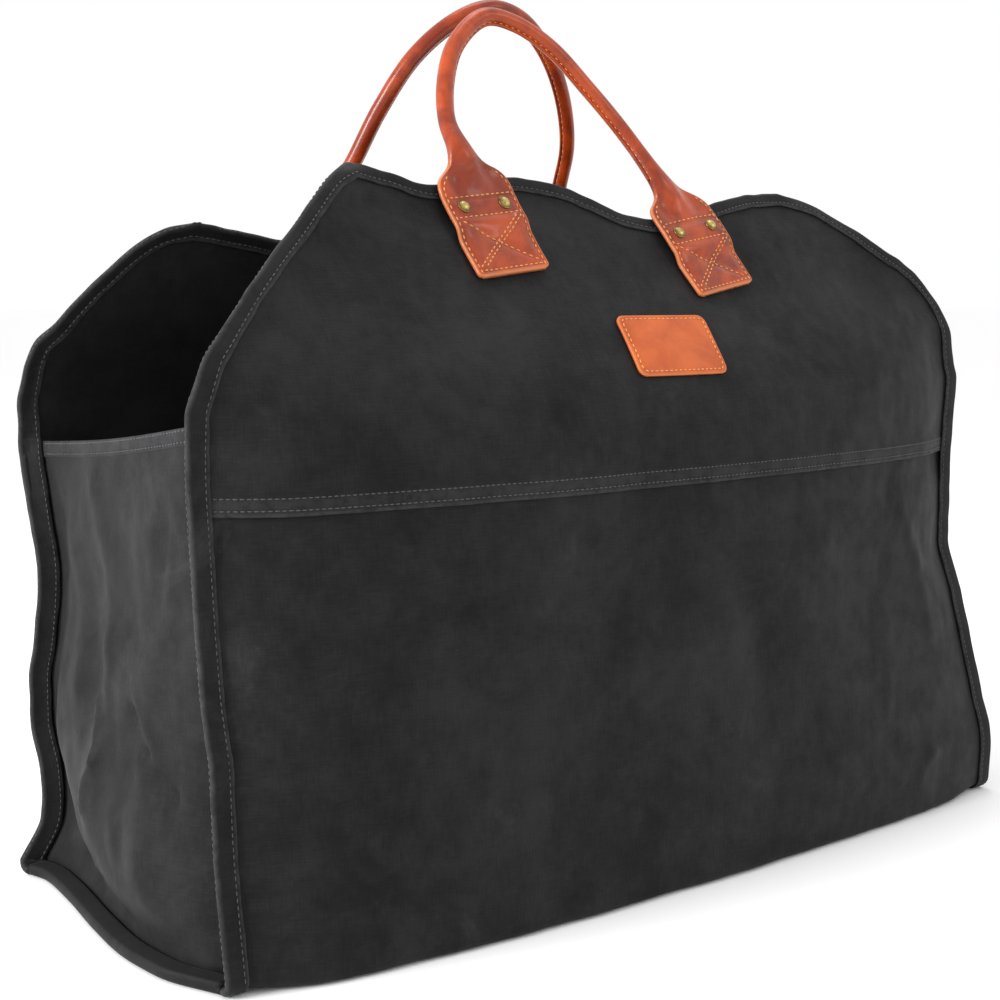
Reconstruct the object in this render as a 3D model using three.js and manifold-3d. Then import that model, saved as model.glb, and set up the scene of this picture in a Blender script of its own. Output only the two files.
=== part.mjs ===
// Canvas log carrier: an open-topped tote of heavy canvas with taped edges,
// two rolled leather handles on riveted tabs and one blank leather patch.
// Millimetres. +X along the length, +Y to the back, +Z up, origin under the middle of the base.
import * as THREE from "three";
import { mergeVertices } from "three/addons/utils/BufferGeometryUtils.js";
import Module from "manifold-3d";

const wasm = await Module();
wasm.setup();

// Driving sizes of the canvas body
const halfLength = 280;
const halfDepth = 144;
const peakHeight = 391;
const seamHeight = 222;
const sideHeight = 270;
const canvas = 1.6;
const lap = 14;
const clearance = 0.4;
const footRadius = 8;
const footSwell = 13;

// Driving sizes of the edge tape
const tape = 1;
const tapeWidth = 10;
const edgeLand = tapeWidth + 2 * clearance;

// Driving sizes of the gussets
const gussetFront = 266;
const gussetBack = 243;
const gussetSwell = 14;
const hemDepth = 9;
const hemStep = 1;
const hemSag = 3;

// Driving sizes of the handles, their rivets and the patch
const gripHeight = 90;
const gripWidth = 9.4;
const tabWidth = 51;
const tabThickness = 3;
const tabFoot = 41;
const tabHead = 10;
const tabOver = 17;
const shoulderRun = 30;
const rivetSpacing = 29;
const rivetCap = 4;
const rivetDome = 1.8;
const rivetPost = 1.5;
const rivetHead = 3.4;
const rivetHeadThickness = 0.8;
const patchWidth = 66;
const patchHeight = 40;
const patchThickness = 1.8;
const patchRadius = 5;

// How finely the pieces are faceted
const panelColumns = 22;
const baseSteps = 6;
const gripSides = 10;
const rivetSides = 8;

// Each edge from the floor to its peak: height as a share of peakHeight,
// distance from the middle as a share of halfLength, depth as a share of halfDepth.
const frontLeftEdge = [
  { up: 0, out: 1, depth: 0.86 },
  { up: 0.18, out: 1, depth: 0.785 },
  { up: 0.27, out: 1, depth: 0.77 },
  { up: 0.36, out: 1, depth: 0.715 },
  { up: 0.52, out: 1, depth: 0.667 },
  { up: 0.62, out: 1, depth: 0.646 },
  { up: 0.69, out: 1, depth: 0.66 },
  { up: 0.729, out: 0.987, depth: 0.68 },
  { up: 0.76, out: 0.964, depth: 0.66 },
  { up: 0.788, out: 0.925, depth: 0.625 },
  { up: 0.87, out: 0.811, depth: 0.528 },
  { up: 0.913, out: 0.74, depth: 0.458 },
  { up: 0.95, out: 0.683, depth: 0.4 },
  { up: 0.985, out: 0.63, depth: 0.361 },
  { up: 1, out: 0.586, depth: 0.31 },
];
const frontRightEdge = [
  { up: 0, out: 1, depth: 0.82 },
  { up: 0.08, out: 1, depth: 0.83 },
  { up: 0.169, out: 1, depth: 0.764 },
  { up: 0.256, out: 1, depth: 0.694 },
  { up: 0.343, out: 1, depth: 0.62 },
  { up: 0.42, out: 1, depth: 0.55 },
  { up: 0.568, out: 1, depth: 0.55 },
  { up: 0.69, out: 1, depth: 0.565 },
  { up: 0.716, out: 0.995, depth: 0.556 },
  { up: 0.762, out: 0.982, depth: 0.556 },
  { up: 0.808, out: 0.966, depth: 0.514 },
  { up: 0.839, out: 0.943, depth: 0.472 },
  { up: 0.867, out: 0.904, depth: 0.451 },
  { up: 0.918, out: 0.771, depth: 0.417 },
  { up: 0.955, out: 0.68, depth: 0.347 },
  { up: 0.98, out: 0.61, depth: 0.29 },
  { up: 0.987, out: 0.546, depth: 0.28 },
];
const backEdge = [
  { up: 0, out: 1, depth: 0.83 },
  { up: 0.03, out: 1, depth: 0.77 },
  { up: 0.084, out: 1, depth: 0.7 },
  { up: 0.143, out: 1, depth: 0.715 },
  { up: 0.21, out: 1, depth: 0.805 },
  { up: 0.276, out: 1, depth: 0.8 },
  { up: 0.35, out: 1, depth: 0.722 },
  { up: 0.44, out: 1, depth: 0.674 },
  { up: 0.51, out: 1, depth: 0.735 },
  { up: 0.61, out: 1, depth: 0.825 },
  { up: 0.67, out: 1, depth: 0.825 },
  { up: 0.726, out: 0.998, depth: 0.76 },
  { up: 0.762, out: 0.986, depth: 0.7 },
  { up: 0.79, out: 0.956, depth: 0.639 },
  { up: 0.849, out: 0.879, depth: 0.59 },
  { up: 0.9, out: 0.804, depth: 0.528 },
  { up: 0.919, out: 0.76, depth: 0.49 },
  { up: 0.93, out: 0.7, depth: 0.451 },
];

// Each panel along its middle, from the floor to the top.
const frontMiddle = [
  { up: 0, depth: 1 },
  { up: 0.153, depth: 0.972 },
  { up: 0.384, depth: 0.917 },
  { up: 0.573, depth: 0.882 },
  { up: 0.639, depth: 0.868 },
  { up: 0.685, depth: 0.84 },
  { up: 0.716, depth: 0.802 },
  { up: 0.757, depth: 0.722 },
  { up: 0.831, depth: 0.562 },
  { up: 0.882, depth: 0.451 },
  { up: 0.913, depth: 0.392 },
  { up: 0.951, depth: 0.319 },
  { up: 1, depth: 0.264 },
];
const backMiddle = [
  { up: 0, depth: 0.97 },
  { up: 0.2, depth: 0.95 },
  { up: 0.42, depth: 0.9 },
  { up: 0.6, depth: 0.88 },
  { up: 0.67, depth: 0.85 },
  { up: 0.716, depth: 0.8 },
  { up: 0.757, depth: 0.735 },
  { up: 0.831, depth: 0.61 },
  { up: 0.882, depth: 0.53 },
  { up: 0.93, depth: 0.46 },
  { up: 1, depth: 0.4 },
];

// How full a panel stands between its edges, from its left edge at -1 to its right edge at 1.
const fullness = [
  { along: -1, fill: 0 },
  { along: -0.95, fill: 0.3 },
  { along: -0.87, fill: 0.6 },
  { along: -0.65, fill: 0.84 },
  { along: -0.27, fill: 1 },
  { along: 0.1, fill: 0.92 },
  { along: 0.45, fill: 0.76 },
  { along: 0.7, fill: 0.56 },
  { along: 0.87, fill: 0.34 },
  { along: 1, fill: 0 },
];

// The top edges between their two peaks: place along halfLength, height as a share of peakHeight.
const frontTop = [
  { along: -0.586, up: 1 },
  { along: -0.5, up: 0.99 },
  { along: -0.4, up: 0.976 },
  { along: -0.3, up: 0.985 },
  { along: -0.19, up: 0.992 },
  { along: -0.1, up: 0.986 },
  { along: 0, up: 0.964 },
  { along: 0.07, up: 0.945 },
  { along: 0.15, up: 0.938 },
  { along: 0.24, up: 0.948 },
  { along: 0.35, up: 0.968 },
  { along: 0.45, up: 0.983 },
  { along: 0.546, up: 0.987 },
];
const backTop = [
  { along: -0.7, up: 0.93 },
  { along: -0.6, up: 0.919 },
  { along: -0.4, up: 0.9 },
  { along: -0.2, up: 0.908 },
  { along: 0, up: 0.892 },
  { along: 0.2, up: 0.897 },
  { along: 0.42, up: 0.908 },
  { along: 0.6, up: 0.922 },
  { along: 0.7, up: 0.93 },
];

// How far the gussets swell, from their foot to their top and from front to back.
const swellUp = [
  { up: 0, share: 0 },
  { up: 0.03, share: 0 },
  { up: 0.11, share: 0.75 },
  { up: 0.25, share: 1 },
  { up: 0.45, share: 0.85 },
  { up: 0.75, share: 0.45 },
  { up: 1, share: 0.1 },
];
const swellAcross = [
  { across: 0, share: 0 },
  { across: 0.035, share: 0 },
  { across: 0.13, share: 0.5 },
  { across: 0.35, share: 1 },
  { across: 0.6, share: 1 },
  { across: 0.85, share: 0.72 },
  { across: 0.965, share: 0 },
  { across: 1, share: 0 },
];

// Soft folds pressed into the cloth. Ends are shares of halfLength and peakHeight on a panel,
// and of the gusset's own width and height on a gusset; reach and rise are millimetres of cloth.
const foldReach = 16;
const foldDepth = 5;
const frontFolds = [
  { x0: 0.84, z0: 0.5, x1: 0.93, z1: 0.33, reach: 0.9, rise: 0.9 },
  { x0: 0.8, z0: 0.2, x1: 0.92, z1: 0.27, reach: 0.8, rise: 0.7 },
  { x0: -0.62, z0: 0.93, x1: -0.68, z1: 0.78, reach: 1.1, rise: 0.6 },
  { x0: -0.92, z0: 0.52, x1: -0.7, z1: 0.545, reach: 0.7, rise: 0.5 },
];
const backFolds = [
  { x0: -0.85, z0: 0.5, x1: -0.8, z1: 0.3, reach: 1, rise: 0.8 },
  { x0: 0.82, z0: 0.45, x1: 0.88, z1: 0.28, reach: 1, rise: 0.8 },
];
const gussetFolds = [
  { x0: 0.3, z0: 0.62, x1: 0.27, z1: 0.2, reach: 1, rise: 0.5 },
  { x0: 0.52, z0: 0.5, x1: 0.58, z1: 0.2, reach: 1, rise: 0.5 },
  { x0: 0.68, z0: 0.05, x1: 0.97, z1: 0.26, reach: 1.3, rise: -2.2 },
];

// Each handle's grip, from its left neck to its right neck: place along halfLength,
// height over the peaks as a share of gripHeight, depth as a share of halfDepth.
const frontGrip = [
  { along: -0.331, rise: 0.1, depth: 0.31 },
  { along: -0.333, rise: 0.3, depth: 0.225 },
  { along: -0.312, rise: 0.556, depth: 0.156 },
  { along: -0.268, rise: 0.8, depth: 0.104 },
  { along: -0.189, rise: 0.985, depth: 0.073 },
  { along: -0.118, rise: 0.97, depth: 0.076 },
  { along: -0.032, rise: 0.833, depth: 0.104 },
  { along: 0.05, rise: 0.589, depth: 0.146 },
  { along: 0.12, rise: 0.333, depth: 0.201 },
  { along: 0.17, rise: 0.02, depth: 0.31 },
];
const backGrip = [
  { along: -0.372, rise: -0.07, depth: 0.48 },
  { along: -0.35, rise: 0.1, depth: 0.41 },
  { along: -0.314, rise: 0.444, depth: 0.306 },
  { along: -0.261, rise: 0.778, depth: 0.201 },
  { along: -0.186, rise: 1, depth: 0.132 },
  { along: -0.108, rise: 1.1, depth: 0.104 },
  { along: -0.025, rise: 1.067, depth: 0.118 },
  { along: 0.06, rise: 0.9, depth: 0.16 },
  { along: 0.146, rise: 0.622, depth: 0.25 },
  { along: 0.2, rise: 0.3, depth: 0.345 },
  { along: 0.218, rise: -0.02, depth: 0.45 },
];

// The tabs by the middle of their rivet rows, and how far each is turned in degrees.
const frontTabs = [
  { name: "left", along: -0.3005, up: 0.944, turn: 8 },
  { name: "right", along: 0.2275, up: 0.918, turn: 12 },
];
const backTabs = [
  { name: "left", along: -0.388, up: 0.866, turn: 4 },
  { name: "right", along: 0.236, up: 0.862, turn: -4 },
];
const patchPlace = { along: 0.029, up: 0.7575 };

// The handle's section from the rivet row up to the grip, as shares of shoulderRun and of its two widths.
const tabToGrip = [
  { run: 0, narrow: 0 },
  { run: 0.2, narrow: 0.1 },
  { run: 0.42, narrow: 0.4 },
  { run: 0.62, narrow: 0.76 },
  { run: 0.8, narrow: 0.95 },
  { run: 1, narrow: 1 },
];

// A smooth curve through a table's rows that doesn't overshoot them.
function read(table, key, column, at) {
  const last = table.length - 1;
  if (at <= table[0][key]) return table[0][column];
  if (at >= table[last][key]) return table[last][column];
  const slope = (i) => (table[i + 1][column] - table[i][column]) / (table[i + 1][key] - table[i][key]);
  const tangent = (i) => {
    if (i === 0) return slope(0);
    if (i === last) return slope(last - 1);
    const before = slope(i - 1);
    const after = slope(i);
    return before * after <= 0 ? 0 : (2 * before * after) / (before + after);
  };
  const row = table.findIndex((entry, i) => i < last && at < table[i + 1][key]);
  const step = table[row + 1][key] - table[row][key];
  const t = (at - table[row][key]) / step;
  const start = table[row][column] + step * tangent(row) * t * (1 - t) ** 2;
  const bend = t * t * (3 - 2 * t) * (table[row + 1][column] - table[row][column]);
  return start + bend - step * tangent(row + 1) * t * t * (1 - t);
}

const mix = (a, b, t) => a + (b - a) * t;
const ease = (t) => {
  const held = Math.min(1, Math.max(0, t));
  return held * held * (3 - 2 * held);
};

// Height of the cloth over its rest shape from a list of folds.
function foldHeight(folds, x, z, width, height) {
  let total = 0;
  for (const fold of folds) {
    const ax = fold.x0 * width;
    const az = fold.z0 * height;
    const dx = fold.x1 * width - ax;
    const dz = fold.z1 * height - az;
    const t = Math.min(1, Math.max(0, ((x - ax) * dx + (z - az) * dz) / (dx * dx + dz * dz)));
    const away = Math.hypot(x - ax - t * dx, z - az - t * dz) / (foldReach * fold.reach);
    total += foldDepth * fold.rise * Math.exp(-away * away);
  }
  return total;
}

// One of the two big panels: a surface over (x, z) with its edges and its outward side.
function makePanel(sign, leftEdge, rightEdge, middle, top, folds) {
  const edgeOf = (x) => (x < 0 ? leftEdge : rightEdge);
  const halfWidth = (x, z) => halfLength * read(edgeOf(x), "up", "out", z / peakHeight);
  const depthAt = (x, z) => {
    const up = z / peakHeight;
    const along = Math.min(1, Math.max(-1, x / (halfWidth(x, z) - edgeLand)));
    const fill = read(fullness, "along", "fill", along);
    const rest = mix(read(edgeOf(x), "up", "depth", up), read(middle, "up", "depth", up), fill);
    return rest * halfDepth + fill * foldHeight(folds, x, z, halfLength, peakHeight);
  };
  const point = (x, z) => new THREE.Vector3(x, sign * depthAt(x, z), z);
  const inward = (x, z) => {
    const alongX = point(x + 1, z).sub(point(x - 1, z));
    const alongZ = point(x, z + 1).sub(point(x, z - 1));
    return alongZ.cross(alongX).multiplyScalar(-sign).normalize();
  };
  const inside = (x, z, distance) => point(x, z).addScaledVector(inward(x, z), distance);
  return { sign, leftEdge, rightEdge, top, point, inward, inside };
}

const front = makePanel(-1, frontLeftEdge, frontRightEdge, frontMiddle, frontTop, frontFolds);
const back = makePanel(1, backEdge, backEdge, backMiddle, backTop, backFolds);

// Points spaced evenly along a fine list of points.
function evenly(points, count) {
  const reach = [0];
  for (let i = 1; i < points.length; i += 1) {
    reach.push(reach[i - 1] + points[i].distanceTo(points[i - 1]));
  }
  const total = reach[reach.length - 1];
  const found = [];
  for (let k = 0; k <= count; k += 1) {
    const at = (total * k) / count;
    let i = 1;
    while (i < points.length - 1 && reach[i] < at) i += 1;
    const t = (at - reach[i - 1]) / (reach[i] - reach[i - 1]);
    found.push(points[i - 1].clone().lerp(points[i], t));
  }
  return found;
}

// Heights at which every side edge is divided, from the top of the foot's curve to the gusset's corner.
const lapTop = seamHeight + lap;
const lapStart = seamHeight - 2 * lap;
const lowerLevels = [0, 0.1, 0.23, 0.39, 0.57, 0.78, 1].map((share) => mix(footRadius, lapStart, share));
lowerLevels.push(seamHeight, mix(seamHeight, lapTop, 0.5), lapTop);
const overLap = [0.1, 0.2, 0.31, 0.44, 0.6, 0.8, 1];
const heightsUpTo = (top) => [...lowerLevels.slice(-3), ...overLap.map((share) => mix(lapTop, top, share))];
const upperLevels = heightsUpTo(sideHeight);

// The panel's upper outline in (x, z), from its left corner over the top to its right corner.
function upperOutline(panel) {
  const fine = [];
  const steps = 60;
  const shoulder = (edge, side, t) => {
    const up = mix(sideHeight / peakHeight, edge[edge.length - 1].up, t);
    return new THREE.Vector2(side * halfLength * read(edge, "up", "out", up), up * peakHeight);
  };
  const firstAlong = panel.top[0].along;
  const lastAlong = panel.top[panel.top.length - 1].along;
  for (let i = 0; i < steps; i += 1) fine.push(shoulder(panel.leftEdge, -1, i / steps));
  for (let i = 0; i < steps; i += 1) {
    const along = mix(firstAlong, lastAlong, i / steps);
    fine.push(new THREE.Vector2(along * halfLength, read(panel.top, "along", "up", along) * peakHeight));
  }
  for (let i = steps; i >= 0; i -= 1) fine.push(shoulder(panel.rightEdge, 1, i / steps));
  return evenly(fine, panelColumns);
}

// Stations along a path in (x, z), each with the direction into the panel.
function stations(path) {
  return path.map((end, i) => {
    const before = path[Math.max(0, i - 1)];
    const after = path[Math.min(path.length - 1, i + 1)];
    const along = after.clone().sub(before).normalize();
    return { x: end.x, z: end.y, into: new THREE.Vector2(along.y, -along.x) };
  });
}

// The whole sewn edge of a panel from a height on its left side to the same height on its right.
function edgeStations(outline, levels) {
  const side = (x) => levels.slice(0, -1).map((z) => new THREE.Vector2(x, z));
  return stations([...side(-halfLength), ...outline, ...side(halfLength).reverse()]);
}

const frontOutline = upperOutline(front);
const backOutline = upperOutline(back);

// A closed body from a list of triangles, each three points.
function bodyOf(triangles) {
  const geometry = new THREE.BufferGeometry();
  const numbers = triangles.flatMap((corner) => [corner.x, corner.y, corner.z]);
  geometry.setAttribute("position", new THREE.Float32BufferAttribute(numbers, 3));
  const merged = mergeVertices(geometry, 1e-4);
  merged.computeVertexNormals();
  return merged;
}

// A closed wall from four-cornered faces, each corner a pair: its outer and its inner point.
function shell(faces) {
  const triangles = [];
  const quad = (a, b, c, d) => triangles.push(a, b, c, a, c, d);
  const rim = new Map();
  const nameOf = (corner) => corner[0].toArray().map((value) => value.toFixed(3)).join();
  for (const face of faces) {
    quad(...face.map((corner) => corner[0]));
    quad(...face.map((corner) => corner[1]).reverse());
    face.forEach((corner, i) => {
      const next = face[(i + 1) % face.length];
      const reversed = `${nameOf(next)} ${nameOf(corner)}`;
      if (rim.has(reversed)) rim.delete(reversed);
      else rim.set(`${nameOf(corner)} ${nameOf(next)}`, [corner, next]);
    });
  }
  for (const [start, end] of rim.values()) quad(start[0], start[1], end[1], end[0]);
  return faceOut(bodyOf(triangles));
}

// The faces of a grid of corner pairs.
function gridFaces(grid) {
  const faces = [];
  for (let i = 0; i < grid.length - 1; i += 1) {
    for (let j = 0; j < grid[i].length - 1; j += 1) {
      faces.push([grid[i][j], grid[i + 1][j], grid[i + 1][j + 1], grid[i][j + 1]]);
    }
  }
  return faces;
}

// A closed body through a list of sections with the same number of points.
function loft(sections) {
  const triangles = [];
  const count = sections[0].length;
  for (let i = 0; i < sections.length - 1; i += 1) {
    for (let j = 0; j < count; j += 1) {
      const next = (j + 1) % count;
      const [a, b] = [sections[i][j], sections[i][next]];
      const [c, d] = [sections[i + 1][next], sections[i + 1][j]];
      triangles.push(a, b, d, b, c, d);
    }
  }
  const cap = (section, turned) => {
    const flat = flatten(section);
    for (const face of THREE.ShapeUtils.triangulateShape(flat, [])) {
      const [p, q, r] = face.map((index) => section[index]);
      if (turned) triangles.push(p, r, q);
      else triangles.push(p, q, r);
    }
  };
  cap(sections[0], true);
  cap(sections[sections.length - 1], false);
  return faceOut(bodyOf(triangles));
}

// A section's points in its own plane.
function flatten(section) {
  const normal = new THREE.Vector3();
  section.forEach((point, i) => {
    normal.add(point.clone().cross(section[(i + 1) % section.length]));
  });
  normal.normalize();
  const across = section[1].clone().sub(section[0]).normalize();
  const up = normal.clone().cross(across);
  return section.map((point) => new THREE.Vector2(point.dot(across), point.dot(up)));
}

// Six times a body's volume, with its sign.
function signedVolume(geometry) {
  const place = geometry.attributes.position;
  const index = geometry.index;
  const corners = [new THREE.Vector3(), new THREE.Vector3(), new THREE.Vector3()];
  let total = 0;
  for (let i = 0; i < index.count; i += 3) {
    corners.forEach((corner, k) => corner.fromBufferAttribute(place, index.getX(i + k)));
    total += corners[0].dot(corners[1].clone().cross(corners[2]));
  }
  return total;
}

// The same body with its faces pointing out.
function faceOut(geometry) {
  if (signedVolume(geometry) > 0) return geometry;
  const index = geometry.index.array;
  for (let i = 0; i < index.length; i += 3) {
    [index[i + 1], index[i + 2]] = [index[i + 2], index[i + 1]];
  }
  geometry.computeVertexNormals();
  return geometry;
}

function toSolid(geometry) {
  const bare = geometry.clone();
  bare.deleteAttribute("normal");
  bare.deleteAttribute("uv");
  const merged = mergeVertices(bare, 1e-4);
  return new wasm.Manifold(new wasm.Mesh({
    numProp: 3,
    vertProperties: new Float32Array(merged.attributes.position.array),
    triVerts: new Uint32Array(merged.index.array),
  }));
}

function fromSolid(solid) {
  const mesh = solid.getMesh();
  const geometry = new THREE.BufferGeometry();
  geometry.setAttribute("position", new THREE.Float32BufferAttribute(mesh.vertProperties, 3));
  geometry.setIndex(new THREE.Uint32BufferAttribute(mesh.triVerts, 1));
  geometry.computeVertexNormals();
  return geometry;
}

// A body with each of the cutters taken out of it.
function cut(geometry, cutters) {
  let solid = toSolid(geometry);
  for (const cutter of cutters) solid = solid.subtract(toSolid(cutter));
  return fromSolid(solid);
}

// Where the lower cloth steps back behind the hem of the upper cloth.
const setBack = (z) => (canvas + clearance) * ease((z - lapStart) / (seamHeight - lapStart));

// Upper panels: a band along the sewn edge, and rows of faces inside it down to the seam.
const insetOf = (station) => [station.x + station.into.x * edgeLand, station.z + station.into.y * edgeLand];
function upperPanel(panel, outline) {
  const pair = (x, z) => [panel.point(x, z), panel.inside(x, z, canvas)];
  const edge = edgeStations(outline, upperLevels);
  const inset = edge.map(insetOf);
  const band = [inset.map(([x, z]) => pair(x, z)), edge.map(({ x, z }) => pair(x, z))];
  const last = upperLevels.length - 1;
  const tops = inset.slice(last + 1, inset.length - last - 1);
  const rows = upperLevels.map((level, i) => {
    const between = tops.map(([x, z]) => [x, heightsUpTo(z)[i]]);
    return [inset[i], ...between, inset[inset.length - 1 - i]].map(([x, z]) => pair(x, z));
  });
  return shell([...gridFaces(band), ...gridFaces(rows)]);
}

// Positions along the length where the cloth is divided, the same above and below the seam.
function columnsOf(outline) {
  const inset = stations(outline).slice(1, -1).map((station) => insetOf(station)[0]);
  return [-halfLength, edgeLand - halfLength, ...inset, halfLength - edgeLand, halfLength];
}
const frontColumns = columnsOf(frontOutline);
const backColumns = columnsOf(backOutline);

// How far the sewn edge of the base swells past the ends of the panels, in straight runs.
const footSwellAcross = [
  { across: 0, share: 0 },
  { across: 0.17, share: 1.15 },
  { across: 0.33, share: 1.4 },
  { across: 0.5, share: 1.2 },
  { across: 0.67, share: 0.85 },
  { across: 0.83, share: 0.55 },
  { across: 1, share: 0 },
];
function footReach(across) {
  const steps = Math.min(1, Math.max(0, across)) * baseSteps;
  const whole = Math.min(baseSteps - 1, Math.floor(steps));
  const rise = (step) => read(footSwellAcross, "across", "share", step / baseSteps);
  return halfLength + footSwell * mix(rise(whole), rise(whole + 1), steps - whole);
}

// The lower body: one length of canvas, down the front, under the base and up the back.
const turnSteps = 2;
const baseLift = tape + clearance;
function bodyWrap() {
  const rows = [];
  const side = (panel, columns, levels) => {
    for (const z of levels) {
      rows.push(columns.map((x) => [
        panel.inside(x, z, setBack(z)),
        panel.inside(x, z, setBack(z) + canvas),
      ]));
    }
  };
  const lift = (x) => baseLift * ease((Math.abs(x) / halfLength - 0.88) / 0.07);
  const turn = (panel, columns, steps) => {
    for (const t of steps) {
      const angle = (t * Math.PI) / 2;
      const place = (x, radius) => {
        const foot = panel.point(x, footRadius).y;
        const y = foot + panel.sign * (-footRadius + radius * Math.cos(angle));
        return new THREE.Vector3(x, y, footRadius - radius * Math.sin(angle) + lift(x) * t);
      };
      rows.push(columns.map((x) => [place(x, footRadius), place(x, footRadius - canvas)]));
    }
  };
  const turns = Array.from({ length: turnSteps }, (unused, i) => (i + 1) / turnSteps);
  side(front, frontColumns, [...lowerLevels].reverse());
  turn(front, frontColumns, turns);
  for (let i = 1; i < baseSteps; i += 1) {
    const t = i / baseSteps;
    rows.push(frontColumns.map((frontX, k) => {
      const frontY = front.point(frontX, footRadius).y + footRadius;
      const backY = back.point(backColumns[k], footRadius).y - footRadius;
      const x = mix(frontX, backColumns[k], t);
      const pull = ease((Math.abs(x) / halfLength - 0.7) / 0.25);
      const out = x * mix(1, footReach(t) / halfLength, pull);
      const place = (height) => new THREE.Vector3(out, mix(frontY, backY, t), height + lift(x));
      return [place(0), place(canvas)];
    }));
  }
  turn(back, backColumns, [...turns].reverse());
  side(back, backColumns, lowerLevels);
  return shell(gridFaces(rows));
}

// How far behind a panel's face its cloth is clear at a height: past the lap, and inside the foot's curve.
function seamDepth(z) {
  const lapped = z < lapTop + hemDepth ? setBack(z) : 0;
  const inner = footRadius - canvas - clearance;
  const below = Math.min(inner, Math.max(0, footRadius + baseLift - z));
  return lapped + footRadius - Math.sqrt(inner * inner - below * below);
}

// Gussets, side -1 at the left and 1 at the right
const gussetColumns = [0, 0.035, 0.1, 0.2, 0.32, 0.44, 0.56, 0.68, 0.8, 0.9, 0.965, 1];
const edgeInset = tapeWidth + clearance + hemStep;
const baseTop = baseLift + canvas + clearance;
const gussetTop = (across) => mix(gussetFront, gussetBack, across) - hemSag * Math.sin(Math.PI * across);
function gussetPoint(side, across, z) {
  const up = (z - baseTop) / (gussetTop(across) - baseTop);
  const held = ease(across / 0.1) * ease((1 - across) / 0.1);
  const foot = held * (footReach(across) - halfLength) * (1 - ease(up * 2));
  const swell = gussetSwell * read(swellUp, "up", "share", up) * read(swellAcross, "across", "share", across);
  const width = 2 * halfDepth;
  const fold = foldHeight(gussetFolds, across * width, up * gussetFront, width, gussetFront);
  const x = halfLength - edgeInset + foot + swell + held * ease(up / 0.08) * fold;
  const onLand = side * (halfLength - tapeWidth / 2);
  const seam = (panel) => panel.inside(onLand, Math.max(z, footRadius), seamDepth(z)).y;
  return new THREE.Vector3(side * x, mix(seam(front), seam(back), across), z);
}

function gusset(side) {
  const rows = [];
  const addRow = (heightAt, proud) => {
    rows.push(gussetColumns.map((across) => {
      const place = gussetPoint(side, across, heightAt(across));
      const outer = place.clone().setX(place.x + side * proud);
      return [outer, place.setX(place.x - side * canvas)];
    }));
  };
  const hemFoot = (across) => gussetTop(across) - hemDepth;
  for (const z of [baseTop + clearance, ...lowerLevels.slice(0, -2)]) addRow(() => z, 0);
  addRow((across) => Math.min(lapTop, hemFoot(across) - hemStep), 0);
  addRow(hemFoot, 0);
  addRow((across) => hemFoot(across) + hemStep / 2, hemStep);
  addRow(gussetTop, hemStep);
  return shell(gridFaces(rows));
}

// Edge tape folded over a panel's edge, with the gusset's turned edge held inside it.
function panelTape(panel, outline) {
  const levels = [...lowerLevels.slice(0, -3), ...upperLevels];
  const sections = edgeStations(outline, levels).map((end) => {
    const held = 1 - ease((end.z - gussetBack) / (sideHeight - gussetBack));
    const stack = seamDepth(end.z + baseLift);
    const allowance = held * (canvas + clearance);
    const layer = (reach, distance) => {
      return panel.inside(end.x + end.into.x * reach, end.z + end.into.y * reach, distance);
    };
    const outermost = -clearance - tape;
    return [
      layer(tapeWidth, outermost),
      layer(outermost, outermost),
      layer(outermost, stack + allowance + tape),
      layer(tapeWidth, stack + allowance + tape),
      layer(tapeWidth, stack),
      layer(-clearance, stack),
      layer(-clearance, -clearance),
      layer(tapeWidth, -clearance),
    ];
  });
  return loft(sections);
}

// Edge tape along the foot of a gusset, from one foot's curve to the other.
function footTape(side) {
  const upper = baseTop;
  const outer = upper + canvas + clearance + tape;
  const foot = [front, back].map((panel) => (
    panel.point(side * halfLength, footRadius).y - panel.sign * footRadius
  ));
  const sections = [];
  for (let i = 0; i <= baseSteps; i += 1) {
    const y = mix(foot[0], foot[1], i / baseSteps);
    const at = (reach, z) => new THREE.Vector3(side * (footReach(i / baseSteps) - reach), y, z);
    sections.push([
      at(tapeWidth, 0),
      at(-baseLift, 0),
      at(-baseLift, outer),
      at(tapeWidth, outer),
      at(tapeWidth, upper),
      at(-clearance, upper),
      at(-clearance, tape),
      at(tapeWidth, tape),
    ]);
  }
  return loft(sections);
}

// A tab's frame on its panel: the middle of its rivet row, and its directions down and across.
function tabFrame(panel, tab) {
  const x = tab.along * halfLength;
  const z = tab.up * peakHeight;
  const turn = THREE.MathUtils.degToRad(tab.turn);
  const across = panel.point(x + 1, z).sub(panel.point(x - 1, z)).normalize();
  const up = panel.point(x, z + 1).sub(panel.point(x, z - 1)).normalize();
  const down = across.clone().multiplyScalar(Math.sin(turn)).addScaledVector(up, -Math.cos(turn));
  const sideways = across.clone().multiplyScalar(Math.cos(turn)).addScaledVector(up, Math.sin(turn));
  return { x, z, down, sideways, inward: panel.inward(x, z) };
}

// Where a tab's middle line lies at a distance below its rivet row: its head rides over the tape.
const tabLift = tape + 4 * clearance;
function onTab(panel, frame, distance) {
  const x = frame.x + frame.down.x * distance;
  const z = frame.z + frame.down.z * distance;
  const overTape = ease((2 * tabHead - distance) / tabHead) * tabLift;
  return panel.inside(x, z, -2 * clearance - overTape - tabThickness / 2);
}

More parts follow.
